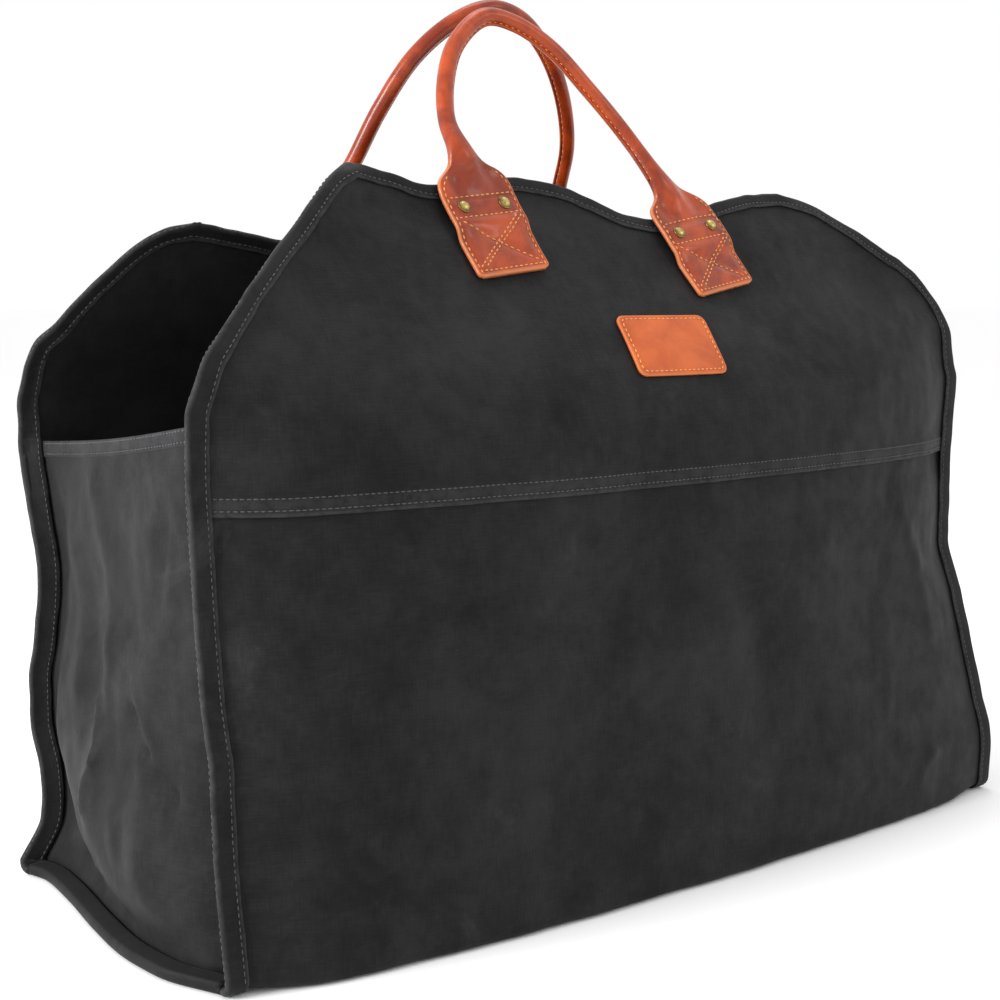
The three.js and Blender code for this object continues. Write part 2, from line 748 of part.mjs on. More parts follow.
// A handle's middle line from one tab's foot over the grip to the other tab's foot,
// each place with its share of the way from flat tab to round grip.
const tabSteps = [1, 0.66, 0.33, 0];
const gripSteps = 26;
function handlePath(panel, tabs, grip) {
  const frames = tabs.map((tab) => tabFrame(panel, tab));
  const below = tabSteps.map((step) => step * tabFoot);
  const tabLine = (frame) => [...below, -tabOver].map((distance) => onTab(panel, frame, distance));
  const gripLine = grip.map((row) => new THREE.Vector3(
    row.along * halfLength,
    panel.sign * row.depth * halfDepth,
    peakHeight + row.rise * gripHeight,
  ));
  const curve = new THREE.CatmullRomCurve3(
    [...tabLine(frames[0]).slice(-2), ...gripLine, ...tabLine(frames[1]).slice(-2).reverse()],
    false,
    "centripetal",
  );
  const reach = curve.getLength();
  const ride = curve.getSpacedPoints(gripSteps * 4);
  const skip = tabOver / reach;
  const along = Array.from({ length: gripSteps + 1 }, (unused, i) => {
    const t = mix(skip, 1 - skip, i / gripSteps);
    return ride[Math.round(t * gripSteps * 4)];
  });
  return [...tabLine(frames[0]), ...along.slice(1, -1), ...tabLine(frames[1]).reverse()];
}

function handleSections(panel, tabs, grip) {
  const path = handlePath(panel, tabs, grip);
  const frames = tabs.map((tab) => tabFrame(panel, tab));
  const reach = [0];
  for (let i = 1; i < path.length; i += 1) reach.push(reach[i - 1] + path[i].distanceTo(path[i - 1]));
  const total = reach[reach.length - 1];
  const leanOut = new THREE.Vector3(0, -panel.sign, 0);
  return path.map((place, i) => {
    const fromFoot = Math.min(reach[i], total - reach[i]);
    const frame = reach[i] < total / 2 ? frames[0] : frames[1];
    const run = (fromFoot - tabFoot - tabHead) / shoulderRun;
    const round = read(tabToGrip, "run", "narrow", run);
    const width = mix(tabWidth, gripWidth, round);
    const thickness = mix(tabThickness, gripWidth, ease(run * 0.9));
    const before = path[Math.max(0, i - 1)];
    const after = path[Math.min(path.length - 1, i + 1)];
    const along = after.clone().sub(before).normalize();
    const normal = frame.inward.clone().lerp(leanOut, 0.5 * round).normalize();
    normal.addScaledVector(along, -normal.dot(along)).normalize();
    let side = normal.clone().cross(along).multiplyScalar(panel.sign);
    if (run <= 0) side = frame.sideways.clone().multiplyScalar(Math.sign(side.dot(frame.sideways)));
    const square = mix(6, 2, ease(run));
    return Array.from({ length: gripSides }, (unused, k) => {
      const angle = ((k + 0.5) * 2 * Math.PI) / gripSides;
      const bulge = (value) => Math.sign(value) * Math.abs(value) ** (2 / square);
      return place.clone()
        .addScaledVector(side, (width / 2) * bulge(Math.cos(angle)))
        .addScaledVector(normal, (thickness / 2) * bulge(Math.sin(angle)));
    });
  });
}

// A rivet through a tab and the canvas: dome, post and inner head on one axis.
// Its place is on the cloth's face, and its seat is how far the leather's face stands over that.
function rivetPlaces(panel, tabs) {
  return tabs.flatMap((tab) => {
    const frame = tabFrame(panel, tab);
    const outward = frame.inward.clone().negate();
    return [-1, 1].map((hand) => {
      const shift = frame.sideways.clone().multiplyScalar((hand * rivetSpacing) / 2);
      const place = panel.point(frame.x + shift.x, frame.z + shift.z);
      const toLeather = onTab(panel, frame, 0).add(shift).sub(place);
      const seat = toLeather.dot(outward) + tabThickness / 2 + 2.5 * clearance;
      return { name: `${tab.name}_${hand < 0 ? "outer" : "inner"}`, place, outward, seat };
    });
  });
}

function alongAxis(geometry, place, axis) {
  const turn = new THREE.Quaternion().setFromUnitVectors(new THREE.Vector3(0, 1, 0), axis);
  return geometry.applyQuaternion(turn).translate(place.x, place.y, place.z);
}

function rivet({ place, outward, seat }) {
  const inner = -canvas - tape - 3 * clearance;
  const profile = [
    [0, inner - rivetHeadThickness],
    [rivetHead, inner - rivetHeadThickness],
    [rivetHead, inner],
    [rivetPost, inner],
    [rivetPost, seat],
    [rivetCap, seat],
    [rivetCap * 0.8, seat + rivetDome * 0.7],
    [0, seat + rivetDome],
  ].map(([radius, height]) => new THREE.Vector2(radius, height));
  return faceOut(alongAxis(new THREE.LatheGeometry(profile, rivetSides), place, outward));
}

function rivetHole({ place, outward, seat }) {
  const drill = new THREE.CylinderGeometry(rivetPost + clearance, rivetPost + clearance, 8 * seat, 8);
  return alongAxis(drill, place, outward);
}

// The blank leather patch, bent to the front panel.
const patchSteps = 6;
function patch() {
  const centreX = patchPlace.along * halfLength;
  const centreZ = patchPlace.up * peakHeight;
  const up = front.point(centreX, centreZ + 1).sub(front.point(centreX, centreZ - 1)).normalize();
  const rise = up.z;
  const rows = [];
  for (let i = 0; i <= patchSteps; i += 1) {
    const v = (i / patchSteps - 0.5) * patchHeight;
    const fromEnd = patchHeight / 2 - Math.abs(v);
    const missing = Math.max(0, patchRadius - fromEnd);
    const notch = patchRadius - Math.sqrt(patchRadius ** 2 - missing ** 2);
    const half = patchWidth / 2 - notch;
    const places = [-1, -0.5, 0, 0.5, 1].map((share) => [centreX + share * half, centreZ + v * rise]);
    rows.push(places.map(([x, z]) => [
      front.inside(x, z, -2 * clearance - patchThickness),
      front.inside(x, z, -2 * clearance),
    ]));
  }
  return shell(gridFaces(rows));
}

const canvasFinish = new THREE.MeshStandardMaterial({ color: 0x2e2e30, roughness: 0.85, metalness: 0 });
const tapeFinish = new THREE.MeshStandardMaterial({ color: 0x353537, roughness: 0.85, metalness: 0 });
const leatherFinish = new THREE.MeshStandardMaterial({ color: 0xb04a1c, roughness: 0.45, metalness: 0 });
const patchFinish = new THREE.MeshStandardMaterial({ color: 0xd9702f, roughness: 0.5, metalness: 0 });
const brassFinish = new THREE.MeshStandardMaterial({ color: 0x9a8440, roughness: 0.35, metalness: 1 });

const carrier = new THREE.Group();
function add(name, geometry, finish) {
  const mesh = new THREE.Mesh(geometry, finish);
  mesh.name = name;
  carrier.add(mesh);
}

const frontRivets = rivetPlaces(front, frontTabs);
const backRivets = rivetPlaces(back, backTabs);
const frontHoles = frontRivets.map(rivetHole);
const backHoles = backRivets.map(rivetHole);

add("front_upper_panel", cut(upperPanel(front, frontOutline), frontHoles), canvasFinish);
add("back_upper_panel", cut(upperPanel(back, backOutline), backHoles), canvasFinish);
add("body_wrap", bodyWrap(), canvasFinish);
add("left_gusset", gusset(-1), canvasFinish);
add("right_gusset", gusset(1), canvasFinish);
add("front_binding", cut(panelTape(front, frontOutline), frontHoles), tapeFinish);
add("back_binding", cut(panelTape(back, backOutline), backHoles), tapeFinish);
add("left_foot_binding", footTape(-1), tapeFinish);
add("right_foot_binding", footTape(1), tapeFinish);
add("front_handle", cut(loft(handleSections(front, frontTabs, frontGrip)), frontHoles), leatherFinish);
add("back_handle", cut(loft(handleSections(back, backTabs, backGrip)), backHoles), leatherFinish);
for (const place of frontRivets) add(`front_rivet_${place.name}`, rivet(place), brassFinish);
for (const place of backRivets) add(`back_rivet_${place.name}`, rivet(place), brassFinish);
add("leather_patch", patch(), patchFinish);

export default carrier;
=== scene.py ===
"""Looks for the canvas log carrier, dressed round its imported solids.

Tables and sizes are millimetres, as in the solids; meshes are made in metres.
+X runs along the length, +Y to the back and +Z up, from the middle of the base.
"""
import math

import bpy
import numpy as np
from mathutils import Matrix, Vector


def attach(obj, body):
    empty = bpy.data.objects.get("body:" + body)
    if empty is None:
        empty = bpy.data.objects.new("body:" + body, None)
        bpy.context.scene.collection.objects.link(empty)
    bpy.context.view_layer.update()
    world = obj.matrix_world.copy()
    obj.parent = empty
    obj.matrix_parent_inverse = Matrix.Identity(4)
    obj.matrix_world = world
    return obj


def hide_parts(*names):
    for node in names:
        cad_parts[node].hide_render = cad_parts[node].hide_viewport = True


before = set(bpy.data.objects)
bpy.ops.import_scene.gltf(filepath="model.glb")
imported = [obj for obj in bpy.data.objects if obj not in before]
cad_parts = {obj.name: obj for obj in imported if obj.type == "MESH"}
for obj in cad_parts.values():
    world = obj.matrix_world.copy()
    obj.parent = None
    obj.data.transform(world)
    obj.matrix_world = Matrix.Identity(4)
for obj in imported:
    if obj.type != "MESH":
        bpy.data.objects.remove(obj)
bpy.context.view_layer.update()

MM = 0.001

# Sizes of the canvas body, the same as the solids
HALF_LENGTH = 280
HALF_DEPTH = 144
PEAK_HEIGHT = 391
SEAM_HEIGHT = 222
SIDE_HEIGHT = 270
CANVAS = 1.6
LAP = 14
CLEARANCE = 0.4
FOOT_RADIUS = 8
FOOT_SWELL = 13
TAPE = 1
TAPE_WIDTH = 10
EDGE_LAND = TAPE_WIDTH + 2 * CLEARANCE
GUSSET_FRONT = 266
GUSSET_BACK = 243
GUSSET_SWELL = 14
HEM_DEPTH = 9
HEM_STEP = 1
HEM_SAG = 3
BASE_LIFT = TAPE + CLEARANCE
LAP_TOP = SEAM_HEIGHT + LAP
LAP_START = SEAM_HEIGHT - 2 * LAP

# Sizes of the handles, their rivets and the patch, the same as the solids
GRIP_RISE = 90
GRIP_WIDTH = 9.4
TAB_WIDTH = 51
TAB_THICKNESS = 3
TAB_FOOT = 41
TAB_HEAD = 10
TAB_OVER = 17
RIVET_SPACING = 29
RIVET_CAP = 4
RIVET_DOME = 1.8
RIVET_POST = 1.5
RIVET_HEAD = 3.4
RIVET_HEAD_THICKNESS = 0.8
TAB_LIFT = TAPE + 4 * CLEARANCE
RIVET_SEAT = 2.5 * CLEARANCE + TAB_LIFT + TAB_THICKNESS
PATCH_WIDTH = 66
PATCH_HEIGHT = 40
PATCH_THICKNESS = 1.8
PATCH_CORNER = 5


class Table:
    """Rows of sizes, read as a smooth curve that doesn't overshoot them."""

    def __init__(self, columns, rows):
        self.columns = columns.split()
        self.rows = np.array(rows, float)

    def read(self, column, at):
        key = self.rows[:, 0]
        value = self.rows[:, self.columns.index(column)]
        step = np.diff(key)
        slope = np.diff(value) / step
        before, after = slope[:-1], slope[1:]
        both = before * after
        total = np.where(both > 0, before + after, 1)
        inner = np.where(both > 0, 2 * both / total, 0)
        tangent = np.concatenate([slope[:1], inner, slope[-1:]])
        at = np.clip(at, key[0], key[-1])
        row = np.clip(np.searchsorted(key, at, side="right") - 1, 0, len(step) - 1)
        t = (at - key[row]) / step[row]
        start = value[row] + step[row] * tangent[row] * t * (1 - t) ** 2
        bend = t * t * (3 - 2 * t) * (value[row + 1] - value[row])
        return start + bend - step[row] * tangent[row + 1] * t * t * (1 - t)


front_left_edge = Table("up out depth", [
    (0, 1, 0.86), (0.18, 1, 0.785), (0.27, 1, 0.77), (0.36, 1, 0.715), (0.52, 1, 0.667),
    (0.62, 1, 0.646), (0.69, 1, 0.66), (0.729, 0.987, 0.68), (0.76, 0.964, 0.66),
    (0.788, 0.925, 0.625), (0.87, 0.811, 0.528), (0.913, 0.74, 0.458), (0.95, 0.683, 0.4),
    (0.985, 0.63, 0.361), (1, 0.586, 0.31),
])
front_right_edge = Table("up out depth", [
    (0, 1, 0.82), (0.08, 1, 0.83), (0.169, 1, 0.764), (0.256, 1, 0.694), (0.343, 1, 0.62),
    (0.42, 1, 0.55), (0.568, 1, 0.55), (0.69, 1, 0.565), (0.716, 0.995, 0.556),
    (0.762, 0.982, 0.556), (0.808, 0.966, 0.514), (0.839, 0.943, 0.472), (0.867, 0.904, 0.451),
    (0.918, 0.771, 0.417), (0.955, 0.68, 0.347), (0.98, 0.61, 0.29), (0.987, 0.546, 0.28),
])
back_edge = Table("up out depth", [
    (0, 1, 0.83), (0.03, 1, 0.77), (0.084, 1, 0.7), (0.143, 1, 0.715), (0.21, 1, 0.805),
    (0.276, 1, 0.8), (0.35, 1, 0.722), (0.44, 1, 0.674), (0.51, 1, 0.735), (0.61, 1, 0.825),
    (0.67, 1, 0.825), (0.726, 0.998, 0.76), (0.762, 0.986, 0.7), (0.79, 0.956, 0.639),
    (0.849, 0.879, 0.59), (0.9, 0.804, 0.528), (0.919, 0.76, 0.49), (0.93, 0.7, 0.451),
])
front_middle = Table("up depth", [
    (0, 1), (0.153, 0.972), (0.384, 0.917), (0.573, 0.882), (0.639, 0.868), (0.685, 0.84),
    (0.716, 0.802), (0.757, 0.722), (0.831, 0.562), (0.882, 0.451), (0.913, 0.392),
    (0.951, 0.319), (1, 0.264),
])
back_middle = Table("up depth", [
    (0, 0.97), (0.2, 0.95), (0.42, 0.9), (0.6, 0.88), (0.67, 0.85), (0.716, 0.8),
    (0.757, 0.735), (0.831, 0.61), (0.882, 0.53), (0.93, 0.46), (1, 0.4),
])
fullness = Table("along fill", [
    (-1, 0), (-0.95, 0.3), (-0.87, 0.6), (-0.65, 0.84), (-0.27, 1), (0.1, 0.92),
    (0.45, 0.76), (0.7, 0.56), (0.87, 0.34), (1, 0),
])
front_top = Table("along up", [
    (-0.586, 1), (-0.5, 0.99), (-0.4, 0.976), (-0.3, 0.985), (-0.19, 0.992), (-0.1, 0.986),
    (0, 0.964), (0.07, 0.945), (0.15, 0.938), (0.24, 0.948), (0.35, 0.968), (0.45, 0.983),
    (0.546, 0.987),
])
back_top = Table("along up", [
    (-0.7, 0.93), (-0.6, 0.919), (-0.4, 0.9), (-0.2, 0.908), (0, 0.892), (0.2, 0.897),
    (0.42, 0.908), (0.6, 0.922), (0.7, 0.93),
])
swell_up = Table("up share", [
    (0, 0), (0.03, 0), (0.11, 0.75), (0.25, 1), (0.45, 0.85), (0.75, 0.45), (1, 0.1),
])
swell_across = Table("across share", [
    (0, 0), (0.035, 0), (0.13, 0.5), (0.35, 1), (0.6, 1), (0.85, 0.72), (0.965, 0), (1, 0),
])

# Soft folds: two ends, then how wide and how high each stands as shares of these
FOLD_REACH = 16
FOLD_RISE = 5
front_folds = [
    (0.729, 0.483, 0.8, 0.402, 0.42, 0.7), (0.8, 0.402, 0.806, 0.286, 0.42, 0.6),
    (0.703, 0.066, 0.747, 0.1, 0.36, 0.6), (0.747, 0.1, 0.821, 0.115, 0.36, 0.6),
    (0.775, 0.045, 0.8, 0.05, 0.5, -0.5), (0.593, 0.179, 0.612, 0.213, 0.4, 0.3),
    (-0.62, 0.93, -0.68, 0.78, 1.0, 0.5), (-0.95, 0.545, -0.86, 0.53, 0.35, -0.4),
    (-0.93, 0.5, -0.8, 0.47, 0.5, 0.35), (0.81, 0.65, 0.9, 0.64, 0.3, 0.3),
    (0.84, 0.593, 0.9, 0.61, 0.3, -0.3), (-0.3, 0.3, 0.1, 0.22, 1.8, 0.25),
    (-0.6, 0.35, -0.45, 0.12, 1.6, -0.3), (0.3, 0.42, 0.45, 0.15, 1.6, 0.3),
]
back_folds = [(-0.85, 0.5, -0.8, 0.3, 1, 0.8), (0.82, 0.45, 0.88, 0.28, 1, 0.8)]
gusset_folds = [
    (0.3, 0.62, 0.27, 0.2, 1, 0.5), (0.52, 0.55, 0.56, 0.2, 0.9, 0.5),
    (0.68, 0.05, 0.97, 0.26, 1.3, -2.2), (0.57, 0.45, 0.52, 0.34, 0.32, 0.55),
    (0.52, 0.34, 0.592, 0.229, 0.32, 0.6), (0.376, 0.454, 0.292, 0.383, 0.32, -0.5),
    (0.292, 0.383, 0.178, 0.312, 0.32, -0.5), (0.178, 0.312, 0.172, 0.22, 0.32, -0.4),
    (0.57, 0.09, 0.42, 0.03, 0.3, -0.5), (0.66, 0.1, 0.6, 0.03, 0.3, -0.6),
    (0.62, 0.9, 0.5, 0.6, 0.8, 0.35), (0.2, 0.85, 0.3, 0.62, 0.7, -0.35),
    (0.8, 0.8, 0.7, 0.5, 0.7, 0.3),
]

front_grip = [
    (-0.331, 0.1, 0.31), (-0.333, 0.3, 0.225), (-0.312, 0.556, 0.156), (-0.268, 0.8, 0.104),
    (-0.189, 0.985, 0.073), (-0.118, 0.97, 0.076), (-0.032, 0.833, 0.104),
    (0.05, 0.589, 0.146), (0.12, 0.333, 0.201), (0.17, 0.02, 0.31),
]
back_grip = [
    (-0.372, -0.07, 0.48), (-0.35, 0.1, 0.41), (-0.314, 0.444, 0.306), (-0.261, 0.778, 0.201),
    (-0.186, 1, 0.132), (-0.108, 1.1, 0.104), (-0.025, 1.067, 0.118), (0.06, 0.9, 0.16),
    (0.146, 0.622, 0.25), (0.2, 0.3, 0.345), (0.218, -0.02, 0.45),
]
# Tabs: place along the length, height and turn
front_tabs = [(-0.3005, 0.944, 8), (0.2275, 0.918, 12)]
back_tabs = [(-0.388, 0.866, 4), (0.236, 0.862, -4)]
PATCH_ALONG, PATCH_UP = 0.029, 0.7575


def mix(a, b, t):
    return a + (b - a) * t


def ease(t):
    held = np.clip(t, 0, 1)
    return held * held * (3 - 2 * held)


def bump(distance, reach):
    return np.exp(-((distance / reach) ** 2))


def unit(vectors):
    return vectors / np.linalg.norm(vectors, axis=-1, keepdims=True)


def reach_along(points):
    steps = np.linalg.norm(np.diff(points, axis=0), axis=-1)
    return np.concatenate([[0], np.cumsum(steps)])


def evenly(points, spacing):
    """The same path with its points spaced evenly."""
    points = np.asarray(points, float)
    reach = reach_along(points)
    count = max(2, int(round(reach[-1] / spacing)) + 1)
    at = np.linspace(0, reach[-1], count)
    return np.stack([np.interp(at, reach, points[:, k]) for k in range(points.shape[1])], 1)


def ripples(seed, shortest, longest, count=40):
    """A field of soft random waves over a plane, about 1 high."""
    rng = np.random.default_rng(seed)
    length = np.exp(rng.uniform(math.log(shortest), math.log(longest), count))
    turn = rng.uniform(0, math.pi, count)
    phase = rng.uniform(0, 2 * math.pi, count)
    height = length / length.max()
    height = height / math.sqrt((height**2).sum() / 2)

    def field(x, z):
        total = 0
        for wave in range(count):
            along = x * math.cos(turn[wave]) + z * math.sin(turn[wave])
            total = total + height[wave] * np.sin(2 * math.pi * along / length[wave] + phase[wave])
        return total

    return field


def fold_height(folds, x, z, width, height):
    total = 0
    for x0, z0, x1, z1, reach, rise in folds:
        ax, az = x0 * width, z0 * height
        dx, dz = x1 * width - ax, z1 * height - az
        t = np.clip(((x - ax) * dx + (z - az) * dz) / (dx * dx + dz * dz), 0, 1)
        away = np.hypot(x - ax - t * dx, z - az - t * dz)
        total = total + FOLD_RISE * rise * bump(away, FOLD_REACH * reach)
    return total


class Panel:
    """One of the two big faces of the carrier: a surface over (x, z)."""

    def __init__(self, sign, left, right, middle, top, folds, seed):
        self.sign = sign
        self.left, self.right, self.middle, self.top = left, right, middle, top
        self.folds = folds
        self.slack = ripples(seed, 35, 150)
        self.pucker = ripples(seed + 1, 9, 34)

    def edge(self, column, x, up):
        return mix(self.left.read(column, up), self.right.read(column, up), ease((x + 90) / 180))

    def depth(self, x, z):
        up = z / PEAK_HEIGHT
        half = HALF_LENGTH * self.edge("out", x, up)
        along = np.clip(x / (half - EDGE_LAND), -1, 1)
        fill = fullness.read("fill", along)
        rest = mix(self.edge("depth", x, up), self.middle.read("depth", up), fill)
        sewn = 4 * fill * (1 - fill) * ease((1 - np.abs(along)) / 0.06)
        sewn = sewn + 0.7 * bump(z - SEAM_HEIGHT, 13) * ease((1 - np.abs(along)) / 0.06)
        cloth = fill * fold_height(self.folds, x, z, HALF_LENGTH, PEAK_HEIGHT)
        cloth = cloth + 0.6 * fill * self.slack(x, z) + 0.16 * sewn * self.pucker(x, z)
        return rest * HALF_DEPTH + cloth

    def point(self, x, z):
        x, z = np.broadcast_arrays(np.asarray(x, float), np.asarray(z, float))
        return np.stack([x, self.sign * self.depth(x, z), z], -1)

    def inward(self, x, z):
        along_x = self.point(x + 1, z) - self.point(x - 1, z)
        along_z = self.point(x, z + 1) - self.point(x, z - 1)
        return unit(np.cross(along_z, along_x) * -self.sign)

    def inside(self, x, z, distance):
        x, z = np.broadcast_arrays(np.asarray(x, float), np.asarray(z, float))
        distance = np.broadcast_to(np.asarray(distance, float), x.shape)
        return self.point(x, z) + self.inward(x, z) * distance[..., None]

    def foot(self, x):
        return self.point(x, FOOT_RADIUS + 0 * x)[..., 1]

    def turned(self, x, angle, distance):
        """The cloth's turn under the base: angle 0 is upright and 90 degrees lies on the floor."""
        x, angle, distance = np.broadcast_arrays(*np.atleast_1d(x, angle, distance))
        radius = FOOT_RADIUS - distance
        sharp = mix(0.55, 1, ease((np.abs(x) / HALF_LENGTH - 0.8) / 0.12))
        y = self.foot(x) + self.sign * (radius * np.maximum(np.cos(angle), 0) ** sharp - FOOT_RADIUS)
        z = FOOT_RADIUS - radius * np.sin(angle) ** sharp + end_lift(x) * angle / (math.pi / 2)
        return np.stack([x.astype(float), y, z], -1)

    def outline(self):
        """The upper edge in (x, z) from the left corner over the top to the right corner."""
        t = np.linspace(0, 1, 120, endpoint=False)
        corners = []
        for side, edge in ((-1, self.left), (1, self.right)):
            up = mix(SIDE_HEIGHT / PEAK_HEIGHT, edge.rows[-1, 0], t if side < 0 else np.append(t, 1))
            corners.append(np.stack([side * HALF_LENGTH * edge.read("out", up), up * PEAK_HEIGHT], 1))
        along = mix(self.top.rows[0, 0], self.top.rows[-1, 0], t)
        over = np.stack([along * HALF_LENGTH, self.top.read("up", along) * PEAK_HEIGHT], 1)
        return np.concatenate([corners[0], over, corners[1][::-1]])


def end_lift(x):
    return BASE_LIFT * ease((np.abs(x) / HALF_LENGTH - 0.88) / 0.07)


front = Panel(-1, front_left_edge, front_right_edge, front_middle, front_top, front_folds, 11)
back = Panel(1, back_edge, back_edge, back_middle, back_top, back_folds, 23)


def set_back(z):
    """How far the lower cloth steps back behind the hem of the upper cloth."""
    return (CANVAS + CLEARANCE) * ease((z - LAP_START) / (SEAM_HEIGHT - LAP_START))


def seam_depth(z):
    """How far behind a panel's face its cloth is clear at a height."""
    z = np.asarray(z, float)
    lapped = np.where(z < LAP_TOP + HEM_DEPTH, set_back(z), 0)
    inner = FOOT_RADIUS - CANVAS - CLEARANCE
    below = np.clip(FOOT_RADIUS + BASE_LIFT - z, 0, inner)
    return lapped + FOOT_RADIUS - np.sqrt(inner * inner - below * below)


foot_swell_across = Table("across share", [
    (0, 0), (0.17, 1.15), (0.33, 1.4), (0.5, 1.2), (0.67, 0.85), (0.83, 0.55), (1, 0),
])


def foot_reach(across):
    return HALF_LENGTH + FOOT_SWELL * foot_swell_across.read("share", across)


# Finishes

def socket(node, name, value):
    node.inputs[name].default_value = value


class Finish:
    """A material under construction, with its shader and short ways to add to it."""

    def __init__(self, name, colour, roughness, **uniform):
        self.material = bpy.data.materials.new(name)
        self.material.use_nodes = True
        self.tree = self.material.node_tree
        self.shader = self.tree.nodes["Principled BSDF"]
        socket(self.shader, "Base Color", (*colour, 1))
        socket(self.shader, "Roughness", roughness)
        for key, value in uniform.items():
            socket(self.shader, key.replace("_", " "), value)
        self.height = None

    def node(self, kind, settings=(), **values):
        made = self.tree.nodes.new(kind)
        for key, value in dict(settings).items():
            setattr(made, key, value)
        for key, value in values.items():
            name = key.replace("_", " ")
            if hasattr(value, "is_output"):
                self.tree.links.new(value, made.inputs[name])
            else:
                socket(made, name, value)
        return made

    def link(self, output, name):
        self.tree.links.new(output, self.shader.inputs[name])

    def place(self):
        return self.node("ShaderNodeTexCoord").outputs["Object"]

    def cloth(self):
        return self.node("ShaderNodeUVMap", {"uv_map": "cloth"}).outputs["UV"]

    def mark(self, name):
        return self.node("ShaderNodeAttribute", {"attribute_name": name}).outputs["Fac"]

    def stretched(self, vector, scale):
        return self.node("ShaderNodeMapping", Vector=vector, Scale=scale).outputs["Vector"]

    def noise(self, vector, scale, detail=3.0, roughness=0.55, distortion=0.0):
        made = self.node("ShaderNodeTexNoise", Vector=vector, Scale=scale, Detail=detail,
                         Roughness=roughness, Distortion=distortion)
        return made.outputs["Fac"]

    def ramp(self, value, low, high, to_low=0.0, to_high=1.0):
        made = self.node("ShaderNodeMapRange", {"interpolation_type": "SMOOTHSTEP"}, Value=value)
        for key, number in (("From Min", low), ("From Max", high), ("To Min", to_low), ("To Max", to_high)):
            socket(made, key, number)
        return made.outputs["Result"]

    def maths(self, operation, a, b):
        made = self.node("ShaderNodeMath", {"operation": operation})
        for index, value in enumerate((a, b)):
            if hasattr(value, "is_output"):
                self.tree.links.new(value, made.inputs[index])
            else:
                made.inputs[index].default_value = value
        return made.outputs["Value"]

    def blend(self, factor, low, high):
        made = self.node("ShaderNodeMix", {"data_type": "RGBA"})
        self.tree.links.new(factor, made.inputs["Factor"])
        for name, value in (("A", low), ("B", high)):
            target = next(s for s in made.inputs if s.name == name and s.type == "RGBA")
            if hasattr(value, "is_output"):
                self.tree.links.new(value, target)
            else:
                target.default_value = (*value, 1)
        return next(s for s in made.outputs if s.type == "RGBA")

    def relief(self, height, distance):
        """Adds a bump over the ones before it, its full height in metres."""
        made = self.node("ShaderNodeBump", Height=height, Distance=distance)
        if self.height is not None:
            self.tree.links.new(self.height, made.inputs["Normal"])
        self.height = made.outputs["Normal"]
        self.link(self.height, "Normal")


def woven(name, deep, worn, pale, roughness, thread):
    """Waxed cotton cloth: crossed threads, slubs, a mottled bloom of wax, rubbed places, and paler fold edges that are
    partly real wear and partly a painted highlight.
    """
    made = Finish(name, deep, roughness, Sheen_Weight=0.03, Sheen_Roughness=0.5, Specular_IOR_Level=0.14)
    place, cloth = made.place(), made.cloth()
    mottle = made.noise(place, 13.0, 7.0, 0.68, 0.5)
    bloom = made.noise(place, 60.0, 5.0, 0.66)
    clouds = made.maths("ADD", made.maths("MULTIPLY", mottle, 0.65), made.maths("MULTIPLY", bloom, 0.35))
    warp = made.noise(made.stretched(cloth, (1 / thread, 0.06 / thread, 1)), 1.0, 2.0)
    weft = made.noise(made.stretched(cloth, (0.06 / thread, 1 / thread, 1)), 1.0, 2.0)
    slubs = made.maths("ADD", made.maths("MULTIPLY", warp, 0.5), made.maths("MULTIPLY", weft, 0.5))
    tint = made.maths("ADD", made.maths("MULTIPLY", clouds, 0.62), made.maths("MULTIPLY", slubs, 0.38))
    body = made.blend(made.ramp(tint, 0.36, 0.64), deep, worn)
    rubbed = made.ramp(made.noise(place, 16.0, 7.0, 0.7, 0.6), 0.56, 0.78, 0.0, 0.4)
    waxed = made.blend(rubbed, body, pale)
    fleck = made.ramp(made.noise(made.stretched(cloth, (300, 1400, 1)), 1.0, 1.0), 0.7, 0.82, 0.0, 0.3)
    flecked = made.blend(fleck, waxed, pale)
    # Marked fold edges, hem bands and tape edges are paled: partly real wear, partly a painted highlight on the rounded
    # edges; the streak noise breaks it up.
    streak = made.ramp(made.noise(place, 220.0, 3.0, 0.6), 0.3, 0.62, 0.25, 1.0)
    worn_and_highlit_edge = made.maths("MULTIPLY", made.mark("wear_and_highlight"), streak)
    made.link(made.blend(worn_and_highlit_edge, flecked, pale), "Base Color")
    made.link(made.ramp(clouds, 0.3, 0.7, roughness + 0.08, roughness - 0.12), "Roughness")
    made.relief(clouds, 0.0006)
    made.relief(slubs, 0.00025)
    return made.material


def leather(name, deep, light, edge, roughness, coat):
    """Oiled leather: uneven dye, fine grain, paler cut edges and a soft gloss."""
    made = Finish(name, light, roughness, Coat_Weight=coat, Coat_Roughness=0.16, Specular_IOR_Level=0.25)
    place = made.place()
    dye = made.noise(place, 38.0, 4.0, 0.6, 0.4)
    grain = made.noise(place, 900.0, 4.0, 0.7)
    colour = made.blend(made.ramp(dye, 0.34, 0.68), deep, light)
    made.link(made.blend(made.mark("cut"), colour, edge), "Base Color")
    made.link(made.ramp(grain, 0.3, 0.7, roughness - 0.06, roughness + 0.12), "Roughness")
    made.relief(grain, 0.00012)
    return made.material


def brushed(name, dark, bright, roughness):
    """Antique brass: dark in its corners, rubbed bright on top."""
    made = Finish(name, bright, roughness, Metallic=1.0)
    worn = made.noise(made.place(), 420.0, 4.0, 0.6)
    shine = made.maths("MULTIPLY", made.ramp(worn, 0.3, 0.6, 0.4, 1.0), made.mark("rubbed"))
    made.link(made.blend(shine, dark, bright), "Base Color")
    made.link(made.ramp(worn, 0.3, 0.7, roughness + 0.15, roughness), "Roughness")
    return made.material


def thread_finish(name, colour, roughness=0.55):
    made = Finish(name, colour, roughness, Sheen_Weight=0.2)
    strand = made.noise(made.place(), 1500.0, 2.0)
    dark = tuple(0.6 * part for part in colour)
    made.link(made.blend(made.ramp(strand, 0.3, 0.6), dark, colour), "Base Color")
    made.relief(strand, 0.0001)
    return made.material


